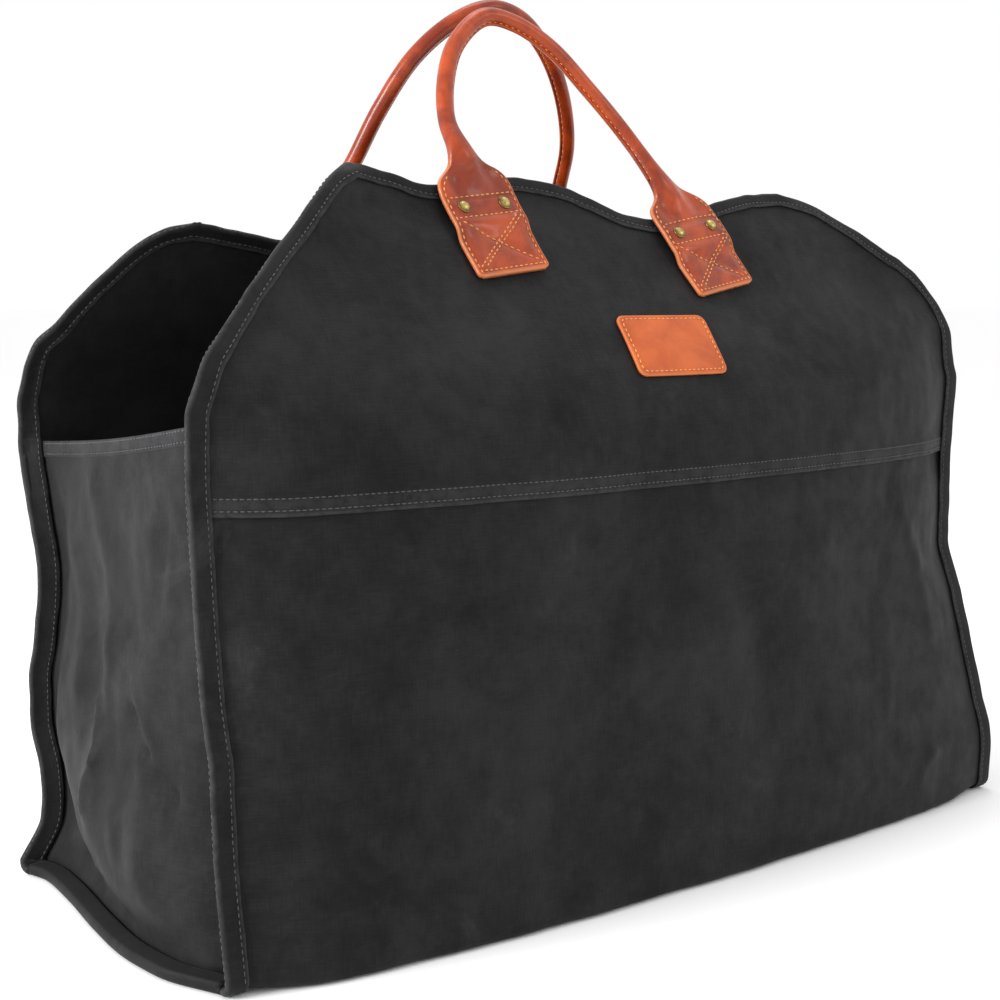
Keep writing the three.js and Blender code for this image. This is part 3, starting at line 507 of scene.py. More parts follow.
canvas_finish = woven("waxed_canvas", (0.0040, 0.0041, 0.0046), (0.0150, 0.0151, 0.0160), (0.046, 0.046, 0.0485), 0.66, 0.0007)
tape_finish = woven("edge_tape_cloth", (0.0040, 0.0041, 0.0045), (0.0130, 0.0130, 0.0138), (0.052, 0.052, 0.055), 0.64, 0.0006)
handle_finish = leather("cognac_leather", (0.19, 0.020, 0.003), (0.41, 0.054, 0.006), (0.66, 0.20, 0.07), 0.3, 0.3)
patch_finish = leather("tan_patch_leather", (0.44, 0.078, 0.015), (0.58, 0.118, 0.025), (0.64, 0.18, 0.06), 0.42, 0.1)
brass_finish = brushed("antique_brass", (0.05, 0.035, 0.012), (0.62, 0.46, 0.16), 0.3)
gold_thread = thread_finish("gold_thread", (0.80, 0.30, 0.045))
dark_thread = thread_finish("grey_thread", (0.045, 0.045, 0.048))


# Meshes

def settled(points):
    """The back left foot corner splays outwards on the floor."""
    points = np.array(points, float)
    x, y, z = points.T
    splay = bump(y - 124, 32) * (1 - ease((z - 3) / 40)) * ease((-x - 215) / 55)
    points[:, 0] = x - 16 * splay
    points[:, 1] = y - 13 * splay
    return points


def piece_of(name, points, faces, finishes, nodes, corner_uv=None, marks=None, faces_finish=None):
    """A smooth closed piece from millimetre points, dressed and placed on the carrier."""
    mesh = bpy.data.meshes.new(name)
    mesh.from_pydata((settled(points) * MM).tolist(), [], faces)
    for finish in finishes:
        mesh.materials.append(finish)
    mesh.polygons.foreach_set("use_smooth", np.ones(len(mesh.polygons), bool))
    if faces_finish is not None:
        mesh.polygons.foreach_set("material_index", faces_finish)
    if corner_uv is not None:
        layer = mesh.uv_layers.new(name="cloth")
        layer.data.foreach_set("uv", (np.asarray(corner_uv) * MM).ravel())
    for mark, values in (marks or {}).items():
        mesh.attributes.new(mark, "FLOAT", "POINT").data.foreach_set("value", np.ravel(values))
    mesh.update()
    made = bpy.data.objects.new(name, mesh)
    bpy.context.scene.collection.objects.link(made)
    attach(made, "root")
    if nodes:
        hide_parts(*nodes)
    return made


def tube(name, sections, finishes, nodes, start=0, marks=None):
    """A closed piece through rings of points; each end is closed by pairing a ring's two halves.
    Its cloth coordinates run along the rings' middles and round from the point numbered start."""
    sections = np.asarray(sections, float)
    count, around = sections.shape[:2]
    along = reach_along(sections[:, start])
    closed = np.concatenate([sections, sections[:, :1]], 1)
    steps = np.linalg.norm(np.diff(closed, axis=1), axis=-1)
    round_ = np.concatenate([np.zeros((count, 1)), np.cumsum(steps, 1)], 1)
    round_ = round_ - round_[:, start:start + 1]
    i, j = np.meshgrid(np.arange(count - 1), np.arange(around), indexing="ij")
    i, j = i.ravel(), j.ravel()
    k = (j + 1) % around
    quads = np.stack([i * around + j, (i + 1) * around + j, (i + 1) * around + k, i * around + k], 1)
    uv = np.stack([
        np.stack([along[i], round_[i, j]], 1), np.stack([along[i + 1], round_[i + 1, j]], 1),
        np.stack([along[i + 1], round_[i + 1, j + 1]], 1), np.stack([along[i], round_[i, j + 1]], 1),
    ], 1)
    caps, cap_uv = [], []
    last = (count - 1) * around
    for a in range(around // 2 - 1):
        ring = [a, a + 1, around - 2 - a, around - 1 - a]
        caps.append(ring)
        caps.append([last + v for v in reversed(ring)])
        cap_uv += [[along[0], round_[0, v]] for v in ring]
        cap_uv += [[along[-1], round_[-1, v]] for v in reversed(ring)]
    faces = np.concatenate([quads, np.array(caps)])
    corner_uv = np.concatenate([uv.reshape(-1, 2), np.array(cap_uv)])
    points = sections.reshape(-1, 3)
    a, b, c, d = (points[faces[:, v]] for v in range(4))
    volume = (a * np.cross(b, c)).sum() + (a * np.cross(c, d)).sum()
    if volume < 0:
        faces = faces[:, ::-1]
        corner_uv = corner_uv.reshape(-1, 4, 2)[:, ::-1].reshape(-1, 2)
    return piece_of(name, points, faces.tolist(), finishes, nodes, corner_uv, marks)


# Canvas

CLOTH_STEP = 3


def upper_cloth(name, panel, node):
    """The upper cloth: from its top edge down to the turned hem, and up its inner face."""
    outline = evenly(panel.outline(), CLOTH_STEP)
    rim = CANVAS / 2
    turn = np.linspace(0, math.pi, 7)
    sections, wear_and_highlight = [], []
    levels = np.append(np.linspace(1, 0.12, 46), np.linspace(0.11, 0, 18))
    for x, top in outline:
        inset = np.sign(x) * 0.2 if abs(x) > HALF_LENGTH - 0.2 else 0
        x = x - inset
        z = mix(SEAM_HEIGHT + rim, top, levels)
        hem = 0.6 * ease((SEAM_HEIGHT + 11 - z) / 2) - 0.4 * bump(z - SEAM_HEIGHT - 2.7, 1.1) - 0.4 * bump(z - SEAM_HEIGHT - 8.4, 1.3)
        outer = panel.inside(x, z, -hem)
        edge_z = SEAM_HEIGHT + rim - (rim + 0.25) * np.sin(turn)
        edge = panel.inside(x, edge_z, rim - (rim + 0.5 * (1 - turn / math.pi)) * np.cos(turn))
        inner = panel.inside(x, z[::-1], CANVAS)
        sections.append(np.concatenate([outer, edge[1:-1], inner]))
        above = z - SEAM_HEIGHT
        # Paler along the hem's folded lower edge and its turn: partly real wear, partly a painted highlight on the
        # fold.
        rub_and_highlight = np.maximum(0.75 * bump(above, 1.6), 0.3 * ease((10 - above) / 3))
        wear_and_highlight.append(np.concatenate([rub_and_highlight, np.full(5, 0.7), 0 * rub_and_highlight]))
    return tube(name, sections, [canvas_finish], [node], start=len(levels), marks={"wear_and_highlight": np.array(wear_and_highlight)})


def wrap_cloth():
    """The lower cloth: down the front, under the base and up the back."""
    ends = 280 - np.array([0, 1.5, 3, 4.5, 6, 8, 10, 12.5, 15, 18, 21])
    middle = np.linspace(-256, 256, 172)
    columns = np.concatenate([-ends, middle, ends[::-1]])
    heights = np.concatenate([np.linspace(LAP_TOP, SEAM_HEIGHT + 3, 4), np.linspace(SEAM_HEIGHT, FOOT_RADIUS, 74)])
    turn = np.linspace(0, math.pi / 2, 7)[1:]
    across = np.linspace(0, 1, 46)[1:-1]
    layers = []
    for depth in (0, CANVAS):
        rows = []
        for panel, levels, angles in ((front, heights, turn), (back, heights[::-1], turn[::-1])):
            side = np.stack([panel.inside(columns, z + 0 * columns, set_back(z) + depth) for z in levels])
            under = np.stack([panel.turned(columns, angle + 0 * columns, depth) for angle in angles])
            rows.append(np.concatenate([side, under] if panel is front else [under, side]))
        base = []
        front_y = front.foot(columns) + FOOT_RADIUS
        back_y = back.foot(columns) - FOOT_RADIUS
        pull = ease((np.abs(columns) / HALF_LENGTH - 0.7) / 0.25)
        for t in across:
            out = columns * mix(1, foot_reach(t) / HALF_LENGTH, pull)
            base.append(np.stack([out, mix(front_y, back_y, t), depth + end_lift(columns)], -1))
        layers.append(np.concatenate([rows[0], np.stack(base), rows[1]]))
    ring = np.concatenate([layers[0], layers[1][::-1]])
    return tube("lower_cloth", ring.transpose(1, 0, 2), [canvas_finish], ["body_wrap"], start=4)


EDGE_INSET = TAPE_WIDTH + CLEARANCE + HEM_STEP
BASE_TOP = BASE_LIFT + CANVAS + CLEARANCE


def gusset_top(across):
    return mix(GUSSET_FRONT, GUSSET_BACK, across) - HEM_SAG * np.sin(math.pi * across)


def gusset_point(side, across, z, slack):
    across, z = np.broadcast_arrays(np.asarray(across, float), np.asarray(z, float))
    up = (z - BASE_TOP) / (gusset_top(across) - BASE_TOP)
    held = ease(across / 0.1) * ease((1 - across) / 0.1)
    foot = held * (foot_reach(across) - HALF_LENGTH) * (1 - ease(up * 2))
    swell = GUSSET_SWELL * swell_up.read("share", up) * swell_across.read("share", across)
    width = 2 * HALF_DEPTH
    fold = fold_height(gusset_folds, across * width, up * GUSSET_FRONT, width, GUSSET_FRONT)
    fold = fold + 0.9 * slack(across * width, z)
    x = HALF_LENGTH - EDGE_INSET + foot + swell + held * ease(up / 0.08) * fold
    on_land = side * (HALF_LENGTH - TAPE_WIDTH / 2) + 0 * z
    held_z = np.maximum(z, FOOT_RADIUS)
    seam = [panel.inside(on_land, held_z, seam_depth(z))[..., 1] for panel in (front, back)]
    return np.stack([side * x, mix(seam[0], seam[1], across), z], -1)


def gusset_cloth(name, side, node, seed):
    """An end of the carrier, with a turned hem along its top."""
    slack = ripples(seed, 22, 120)
    across = np.concatenate([[0, 0.012, 0.024], np.linspace(0.035, 0.965, 76), [0.976, 0.988, 1]])
    sections, wear_and_highlight = [], []
    for share in across:
        top = gusset_top(share)
        hem_foot = top - HEM_DEPTH
        low = BASE_TOP + CLEARANCE
        z = np.concatenate([np.linspace(low, hem_foot - 1.2, 84), hem_foot + np.array([-0.4, 0.1, 0.5, 1.2, 2.2, 3.5, 5, 6.5, 8])])
        proud = HEM_STEP * ease((z - hem_foot + 0.4) / 1.0) - 0.35 * bump(z - hem_foot - 2.2, 0.9)
        place = gusset_point(side, share, z, slack)
        outer = place + np.array([side, 0, 0]) * proud[:, None]
        turn = np.linspace(0, math.pi, 7)[1:-1]
        half = (CANVAS + HEM_STEP) / 2
        crest = gusset_point(side, share, top - 1 + 1 * np.sin(turn), slack)
        crest = crest + np.array([side, 0, 0]) * (HEM_STEP - half + half * np.cos(turn))[:, None]
        inner = place[::-1] - np.array([side * CANVAS, 0, 0])
        sections.append(np.concatenate([outer, crest, inner]))
        # Paler over the hem band and along its folded top: partly real wear, partly a painted highlight on the fold.
        rub_and_highlight = 0.3 * ease((z - hem_foot) / 0.8) + 0.3 * bump(z - top, 2)
        wear_and_highlight.append(np.concatenate([rub_and_highlight, np.full(len(turn), 0.6), 0 * rub_and_highlight]))
    return tube(name, sections, [canvas_finish], [node], start=0, marks={"wear_and_highlight": np.array(wear_and_highlight)})


upper_cloth("front_upper_cloth", front, "front_upper_panel")
upper_cloth("back_upper_cloth", back, "back_upper_panel")
wrap_cloth()
gusset_cloth("left_end_cloth", -1, "left_gusset", 31)
gusset_cloth("right_end_cloth", 1, "right_gusset", 37)


# Edge tape

TOP_WIDTH = 7.0
NOSE = 4.4


def tape_profile(stack, allowance, width=TAPE_WIDTH):
    """The folded tape's section at one station: reach from the edge and depth behind the face."""
    near = -CLEARANCE - TAPE
    far = stack + allowance + TAPE
    half = (far - near) / 2
    outer = [(width - 0.25, near + 0.8), (width, near + 0.35), (width - 0.45, near - 0.15), (width - 1.3, near - 0.2),
             (width - 2.4, near + 0.1), (width * 0.55, near - 0.1), (width * 0.35, near - 0.15), (1.6, near)]
    turn = np.linspace(0.12, math.pi - 0.12, 9)
    thin = min(half, NOSE / 2)
    nose = [(0.8 - (0.8 - near) * math.sin(a), near + thin - thin * math.cos(a)) for a in turn]
    slope = [mix(near + 2 * thin, far, share) for share in (0.05, 0.45)]
    back_face = [(1.6, slope[0]), (4, slope[1]), (width - 2.4, far - 0.1), (width - 0.8, far + 0.1), (width, far - 0.4)]
    deep = min(stack + allowance, near + 2 * thin - 0.5)
    lining = [(width - 0.2, far - 0.8), (5, mix(deep, stack + allowance, 0.5)), (0.6, deep), (-CLEARANCE, near + thin),
              (0.4, -CLEARANCE), (5, -CLEARANCE)]
    return np.array(outer + nose + back_face + lining)


def tape_stations(panel):
    sides = [np.array([[side * HALF_LENGTH, z] for z in np.arange(FOOT_RADIUS, SIDE_HEIGHT, 2)]) for side in (-1, 1)]
    path = evenly(np.concatenate([sides[0], panel.outline(), sides[1][::-1]]), 2.5)
    along = np.gradient(path, axis=0)
    for _ in range(2):
        along[1:-1] = (along[:-2] + 2 * along[1:-1] + along[2:]) / 4
    along = unit(along)
    return path, np.stack([along[:, 1], -along[:, 0]], 1)


def edge_tape(name, panel, node, seed):
    path, into = tape_stations(panel)
    crinkle = np.random.default_rng(seed).normal(size=(len(path) + 12, 2))
    for _ in range(3):
        crinkle[1:-1] = (crinkle[:-2] + crinkle[1:-1] + crinkle[2:]) / 3
    sections = []
    turns = np.linspace(math.pi / 2 * 0.92, 0, 6)[:-1]

    def upright(x, z, into_x, into_z, wave):
        held = 1 - ease((z - GUSSET_BACK) / (SIDE_HEIGHT - GUSSET_BACK))
        width = mix(TAPE_WIDTH, TOP_WIDTH, ease((z - SIDE_HEIGHT) / 60)) + 0.5 * wave[0]
        profile = tape_profile(float(seam_depth(z + BASE_LIFT)), float(held) * (CANVAS + CLEARANCE), width)
        reach = profile[:, 0] + 0.45 * wave[0] * (profile[:, 0] < 2)
        depth = profile[:, 1] + 0.3 * wave[1]
        return panel.inside(x + into_x * reach, z + into_z * reach, depth)

    def under(side, angle):
        profile = tape_profile(float(seam_depth(FOOT_RADIUS + BASE_LIFT)), CANVAS + CLEARANCE)
        keep = np.minimum(profile[:, 1], FOOT_RADIUS - 0.6)
        return panel.turned(side * (HALF_LENGTH - profile[:, 0]), angle, keep)

    sections += [under(-1, angle) for angle in turns]
    for k, ((x, z), (into_x, into_z)) in enumerate(zip(path, into)):
        sections.append(upright(x, z, into_x, into_z, crinkle[k + 6]))
    sections += [under(1, angle) for angle in turns[::-1]]
    # Paler at the tape's edges on both faces and along its rolled nose: partly real wear, partly a painted highlight on
    # the rounded edges.
    rub_and_highlight = np.zeros(len(sections[0]))
    rub_and_highlight[[1, 2, 3]] = 0.45, 0.6, 0.25
    rub_and_highlight[9:16] = 0.15, 0.3, 0.45, 0.5, 0.45, 0.3, 0.15
    rub_and_highlight[[19, 20, 21]] = 0.25, 0.6, 0.45
    wear_and_highlight = np.broadcast_to(rub_and_highlight, (len(sections), len(rub_and_highlight)))
    return tube(name, sections, [tape_finish], [node], start=12, marks={"wear_and_highlight": wear_and_highlight})


def foot_tape(name, side, node):
    inner = BASE_TOP
    outer = inner + CANVAS + CLEARANCE + TAPE
    ends = [panel.foot(np.array([side * HALF_LENGTH]))[0] - panel.sign * FOOT_RADIUS for panel in (front, back)]
    sections = []
    turn = np.linspace(0, math.pi, 11)
    for share in np.linspace(0, 1, 92):
        out = foot_reach(share)
        y = mix(ends[0], ends[1], share)
        nose = [(-BASE_LIFT * math.sin(a) + 0.6 * (1 - math.sin(a)), outer / 2 * (1 - math.cos(a))) for a in turn]
        above = [(4, outer), (7, outer), (TAPE_WIDTH - 0.8, outer - 0.1), (TAPE_WIDTH, outer - 0.5)]
        lining = [(TAPE_WIDTH - 0.2, inner + 0.2), (4, inner), (0, inner - 0.2), (0, TAPE + 0.2), (4, TAPE), (TAPE_WIDTH - 0.2, TAPE - 0.2)]
        below = [(TAPE_WIDTH, 0.5), (TAPE_WIDTH - 0.8, 0.05), (7, 0), (4, 0)]
        ring = np.array(nose + above + lining + below)
        sections.append(np.stack([side * (out - ring[:, 0]), y + 0 * ring[:, 0], ring[:, 1]], 1))
    return tube(name, sections, [tape_finish], [node], start=5)


edge_tape("front_edge_tape", front, "front_binding", 41)
edge_tape("back_edge_tape", back, "back_binding", 43)
foot_tape("left_foot_tape", -1, "left_foot_binding")
foot_tape("right_foot_tape", 1, "right_foot_binding")


# Handles

class Tab:
    """Where a tab sits: the middle of its rivet row, and its directions down and across."""

    def __init__(self, panel, along, up, turn):
        self.panel = panel
        self.x, self.z = along * HALF_LENGTH, up * PEAK_HEIGHT
        turn = math.radians(turn)
        across = unit(panel.point(self.x + 1, self.z) - panel.point(self.x - 1, self.z))
        rise = unit(panel.point(self.x, self.z + 1) - panel.point(self.x, self.z - 1))
        self.down = across * math.sin(turn) - rise * math.cos(turn)
        self.sideways = across * math.cos(turn) + rise * math.sin(turn)
        self.inward = panel.inward(np.array(self.x), np.array(self.z))

    def lift(self, below):
        return 2 * CLEARANCE + ease((2 * TAB_HEAD - below) / TAB_HEAD) * TAB_LIFT

    def at(self, below, aside, height):
        """A place over the tab: below its rivet row, to its side, and above its leather's middle."""
        x = self.x + self.down[0] * below + self.sideways[0] * aside
        z = self.z + self.down[2] * below + self.sideways[2] * aside
        return self.panel.inside(x, z, -self.lift(below) - TAB_THICKNESS / 2 - height)


def smooth_curve(knots, spacing):
    """A centripetal curve through the knots, evenly divided."""
    knots = np.asarray(knots, float)
    knots = np.concatenate([[2 * knots[0] - knots[1]], knots, [2 * knots[-1] - knots[-2]]])
    found = []
    t = np.linspace(0, 1, 40, endpoint=False)[:, None]
    for p0, p1, p2, p3 in zip(knots, knots[1:], knots[2:], knots[3:]):
        d0, d1, d2 = (math.sqrt(np.linalg.norm(b - a)) for a, b in ((p0, p1), (p1, p2), (p2, p3)))
        m1 = ((p1 - p0) / d0 - (p2 - p0) / (d0 + d1) + (p2 - p1) / d1) * d1
        m2 = ((p2 - p1) / d1 - (p3 - p1) / (d1 + d2) + (p3 - p2) / d2) * d1
        found.append(p1 + m1 * t + (3 * (p2 - p1) - 2 * m1 - m2) * t**2 + (2 * (p1 - p2) + m1 + m2) * t**3)
    return evenly(np.concatenate([*found, knots[-2][None]]), spacing)


FACE_POINTS = 52
TAB_BLEND = 34


class Handle:
    """A handle's middle line and its directions at each place."""

    def __init__(self, panel, tabs, grip):
        self.panel = panel
        self.tabs = [Tab(panel, *row) for row in tabs]
        steps = np.arange(TAB_FOOT, 0, -1.1)
        knots = [self.tabs[0].at(d, 0, 0) for d in (0, -TAB_OVER)]
        knots += [np.array([a * HALF_LENGTH, panel.sign * d * HALF_DEPTH, PEAK_HEIGHT + r * GRIP_RISE]) for a, r, d in grip]
        knots += [self.tabs[1].at(d, 0, 0) for d in (-TAB_OVER, 0)]
        flat = [np.stack([tab.at(d, 0, 0) for d in steps]) for tab in self.tabs]
        curve = smooth_curve(knots, 1.5)
        self.path = np.concatenate([flat[0], curve, flat[1][::-1]])
        self.reach = reach_along(self.path)
        along = unit(np.gradient(self.path, axis=0))
        half = self.reach < self.reach[-1] / 2
        self.from_foot = np.minimum(self.reach, self.reach[-1] - self.reach)
        self.round = ease((self.from_foot - TAB_FOOT - 12) / 36)
        inward = np.where(half[:, None], self.tabs[0].inward, self.tabs[1].inward)
        sideways = np.where(half[:, None], -self.tabs[0].sideways, self.tabs[1].sideways)
        lean = np.array([0, -panel.sign, 0])
        normal = unit(mix(inward, lean, 0.5 * self.round[:, None]))
        normal = unit(normal - along * (normal * along).sum(1, keepdims=True))
        side = np.cross(normal, along) * panel.sign
        held = 1 - ease((self.from_foot - TAB_FOOT - 14) / 34)[:, None]
        side = unit(mix(side, sideways, held))
        self.along, self.normal, self.side = along, normal, side
        self.half = half


STITCH_INSET = 2.5
ROW_ABOVE, ROW_BELOW = 7.0, 6.5
shoulder = Table("above width front back cone whole", [
    (0, 51, 1.5, 1.5, 9.5, 0), (5, 51, 1.6, 1.5, 9.5, 0), (10, 50.8, 2.5, 1.5, 9, 0), (14, 50, 3.6, 1.5, 8.5, 0),
    (17.5, 47.6, 4.4, 1.6, 8, 0), (20, 44, 4.9, 1.8, 7.5, 0.02), (22.5, 38, 5.2, 2.1, 7, 0.08),
    (25, 30.5, 5.4, 2.5, 6.6, 0.2), (27.5, 24, 5.4, 3.0, 6.2, 0.4), (31, 19, 5.3, 3.6, 5.8, 0.65),
    (35, 15.6, 5.2, 4.2, 5.4, 0.85), (41, 12.6, 5.0, 4.6, 5, 1), (49, 10.6, 4.8, 4.7, 4.8, 1),
    (60, 9.4, 4.7, 4.7, 4.7, 1),
])


def to_line(below, aside, line):
    (b0, a0), (b1, a1) = line
    run = (b1 - b0) ** 2 + (a1 - a0) ** 2
    t = np.clip(((below - b0) * (b1 - b0) + (aside - a0) * (a1 - a0)) / run, 0, 1)
    return np.hypot(below - b0 - t * (b1 - b0), aside - a0 - t * (a1 - a0))


TAB_LOW = TAB_FOOT - STITCH_INSET - 0.4
TAB_SIDE = TAB_WIDTH / 2 - STITCH_INSET
tab_groove = [((ROW_BELOW + 1, -TAB_SIDE + 2), (TAB_LOW - 1, TAB_SIDE - 2))]
tab_rows = [((-ROW_ABOVE, -TAB_SIDE), (-ROW_ABOVE, TAB_SIDE)), ((ROW_BELOW, -TAB_SIDE), (ROW_BELOW, TAB_SIDE))]
tab_frame = [((0, -TAB_SIDE), (TAB_LOW, -TAB_SIDE)), ((TAB_LOW, -TAB_SIDE), (TAB_LOW, TAB_SIDE)), ((TAB_LOW, TAB_SIDE), (0, TAB_SIDE))]
tab_cord = ((TAB_LOW - 1, -TAB_SIDE + 2), (ROW_BELOW + 1, TAB_SIDE - 2))


def tab_relief(below, aside):
    """How the stitching pulls the tab down along its lines, lets it puff up between and lifts the cord."""
    near = np.minimum.reduce([to_line(below, aside, line) for line in tab_groove + tab_rows + tab_frame])
    cord = to_line(below, aside, tab_cord)
    puff = 0.75 * ease(near / 5.5) * ease((below + ROW_ABOVE + 1) / 3) - 0.35 * bump(near, 0.9)
    return puff * ease((cord - 1.2) / 2.2) + 0.85 * bump(cord, 1.25) * ease((below - ROW_BELOW + 1) / 2)


def handle_leather(name, panel, tabs, grip, node):
    """A handle: stitched tabs that roll up into the round grip."""
    handle = Handle(panel, tabs, grip)
    f = np.linspace(0, 1, FACE_POINTS)
    spread = -np.cos(math.pi * f) * 0.55 + (2 * f - 1) * 0.45
    sections, cut, widths = [], [], []
    for k, place in enumerate(handle.path):
        foot = handle.from_foot[k]
        above = foot - TAB_FOOT
        width, front_half, back_half, cone, whole = (
            float(shoulder.read(column, above)) for column in ("width", "front", "back", "cone", "whole")
        )
        corner = 3.0
        if foot < corner:
            width = width - 2 * (corner - math.sqrt(max(0, corner**2 - (corner - foot) ** 2)))
        widths.append(width)
        across = spread * width / 2
        hand = -1 if handle.half[k] else 1
        sheet = np.maximum(0, 1 - np.abs(spread) ** 9) ** (1 / 9)
        rounded = np.sqrt(np.maximum(0, 1 - spread**2))
        ridge = (front_half - TAB_THICKNESS / 2) * np.exp(-np.abs(across / cone) ** 2.4)
        tab_front = sheet * (TAB_THICKNESS / 2 + ridge) - 0.5 * sheet * bump((np.abs(across) - cone - 5) / 4, 1) * ease((above - 6) / 8)
        if above < 4:
            tab_front = tab_front + sheet * tab_relief(-above + 0 * across, hand * across)
        front_y = mix(tab_front, rounded * front_half, whole)
        back_y = -mix(sheet * back_half, rounded * back_half, whole)
        ring_across = np.concatenate([across, across[-2:0:-1]])
        ring_height = np.concatenate([front_y, back_y[-2:0:-1]])
        free = place + handle.side[k] * ring_across[:, None] - handle.normal[k] * ring_height[:, None]
        tab = handle.tabs[0] if handle.half[k] else handle.tabs[1]
        below = -above
        if below > -TAB_BLEND:
            laid = tab.at(below + 0 * ring_across, hand * ring_across, ring_height)
            free = mix(laid, free, ease((-below - 8) / (TAB_BLEND - 8)))
        sections.append(free)
        rim = bump(1 - np.abs(spread), 0.03) * (1 - whole)
        end = bump(foot, 1.0)
        rim = np.maximum(rim, end)
        cut.append(np.concatenate([rim, rim[-2:0:-1]]))
    handle.sections, handle.widths, handle.spread = np.array(sections), np.array(widths), spread
    made = tube(name, sections, [handle_finish], [node], start=0, marks={"cut": np.array(cut)})
    return handle, made


def on_leather(handle, end, above, aside, lift):
    """Places on a handle's outer face: above the rivet row of one end and to its side, as on the tab."""
    above, aside = np.broadcast_arrays(np.asarray(above, float), np.asarray(aside, float))
    total = handle.reach[-1]
    reach = TAB_FOOT + above
    reach = reach if end == 0 else total - reach
    hand = -1 if end == 0 else 1
    station = np.interp(reach, handle.reach, np.arange(len(handle.reach)))
    places = []
    for at, a in zip(station, hand * aside):
        k = min(int(at), len(handle.reach) - 2)
        share = at - k
        rings = [handle.sections[n, :FACE_POINTS] for n in (k, k + 1)]
        ring = mix(rings[0], rings[1], share)
        half = mix(handle.widths[k], handle.widths[k + 1], share) / 2
        place = np.array([np.interp(a / half, handle.spread, ring[:, c]) for c in range(3)])
        places.append((place - handle.normal[k] * lift, -handle.normal[k]))
    return np.array([place for place, _ in places]), np.array([up for _, up in places])


front_line, front_handle = handle_leather("front_handle_leather", front, front_tabs, front_grip, "front_handle")
back_line, back_handle = handle_leather("back_handle_leather", back, back_tabs, back_grip, "back_handle")


# Rivets

def rivet_places(line):
    for tab in line.tabs:
        for hand in (-1, 1):
            shift = tab.sideways * hand * RIVET_SPACING / 2
            x, z = np.array(tab.x + shift[0]), np.array(tab.z + shift[2])
            yield line.panel.point(x, z), -line.panel.inward(x, z)


RIVET_SIDES = 28


def rivet(name, place, outward, node):
    inner = -CANVAS - TAPE - 3 * CLEARANCE
    seat = RIVET_SEAT + 0.45
    profile = [
        (0.0, inner - RIVET_HEAD_THICKNESS, 0.8), (2.2, inner - RIVET_HEAD_THICKNESS, 0.7),
        (3.1, inner - 0.6, 0.4), (RIVET_HEAD, inner - 0.3, 0.3), (RIVET_HEAD, inner, 0.1), (RIVET_POST, inner, 0),
        (RIVET_POST, seat, 0), (RIVET_CAP - 0.1, seat, 0), (RIVET_CAP + 0.05, seat + 0.3, 0.2),
        (RIVET_CAP, seat + 0.6, 0.5), (RIVET_CAP - 0.35, seat + 0.75, 0.3), (RIVET_CAP - 0.6, seat + 0.72, 0.05),
        (RIVET_CAP - 0.9, seat + 1.0, 0.4), (2.4, seat + 1.6, 0.8), (1.5, seat + 1.95, 1), (0.7, seat + 2.12, 1), (0, seat + 2.15, 1),
    ]
    side = unit(np.cross(outward, [0.3, 0.2, 1]))
    other = np.cross(outward, side)
    points, marks = [], []
    angles = np.arange(RIVET_SIDES) * 2 * math.pi / RIVET_SIDES
    for radius, height, rubbed in profile[1:-1]:
        ring = place + outward * height + radius * (np.cos(angles)[:, None] * side + np.sin(angles)[:, None] * other)
        points.append(ring)
        marks += [rubbed] * RIVET_SIDES
    rows = len(points)
    points = np.concatenate([*points, [place + outward * profile[0][1]], [place + outward * profile[-1][1]]])
    marks += [profile[0][2], profile[-1][2]]
    faces = []
    for row in range(rows - 1):
        for k in range(RIVET_SIDES):
            n = (k + 1) % RIVET_SIDES
            faces.append([row * RIVET_SIDES + k, row * RIVET_SIDES + n, (row + 1) * RIVET_SIDES + n, (row + 1) * RIVET_SIDES + k])
    for k in range(RIVET_SIDES):
        n = (k + 1) % RIVET_SIDES
        faces.append([rows * RIVET_SIDES, n, k])
        faces.append([rows * RIVET_SIDES + 1, (rows - 1) * RIVET_SIDES + k, (rows - 1) * RIVET_SIDES + n])
    volume = sum(np.dot(points[f[0]], np.cross(points[f[1]], points[f[2]])) for f in faces)
    if volume < 0:
        faces = [face[::-1] for face in faces]
    return piece_of(name, points, faces, [brass_finish], [node], marks={"rubbed": np.array(marks)})


for title, line in (("front", front_line), ("back", back_line)):
    ends = ["left_outer", "left_inner", "right_outer", "right_inner"]
    for end, (place, outward) in zip(ends, rivet_places(line)):
        rivet(f"{title}_cap_{end}", place, outward, f"{title}_rivet_{end}")


# Patch

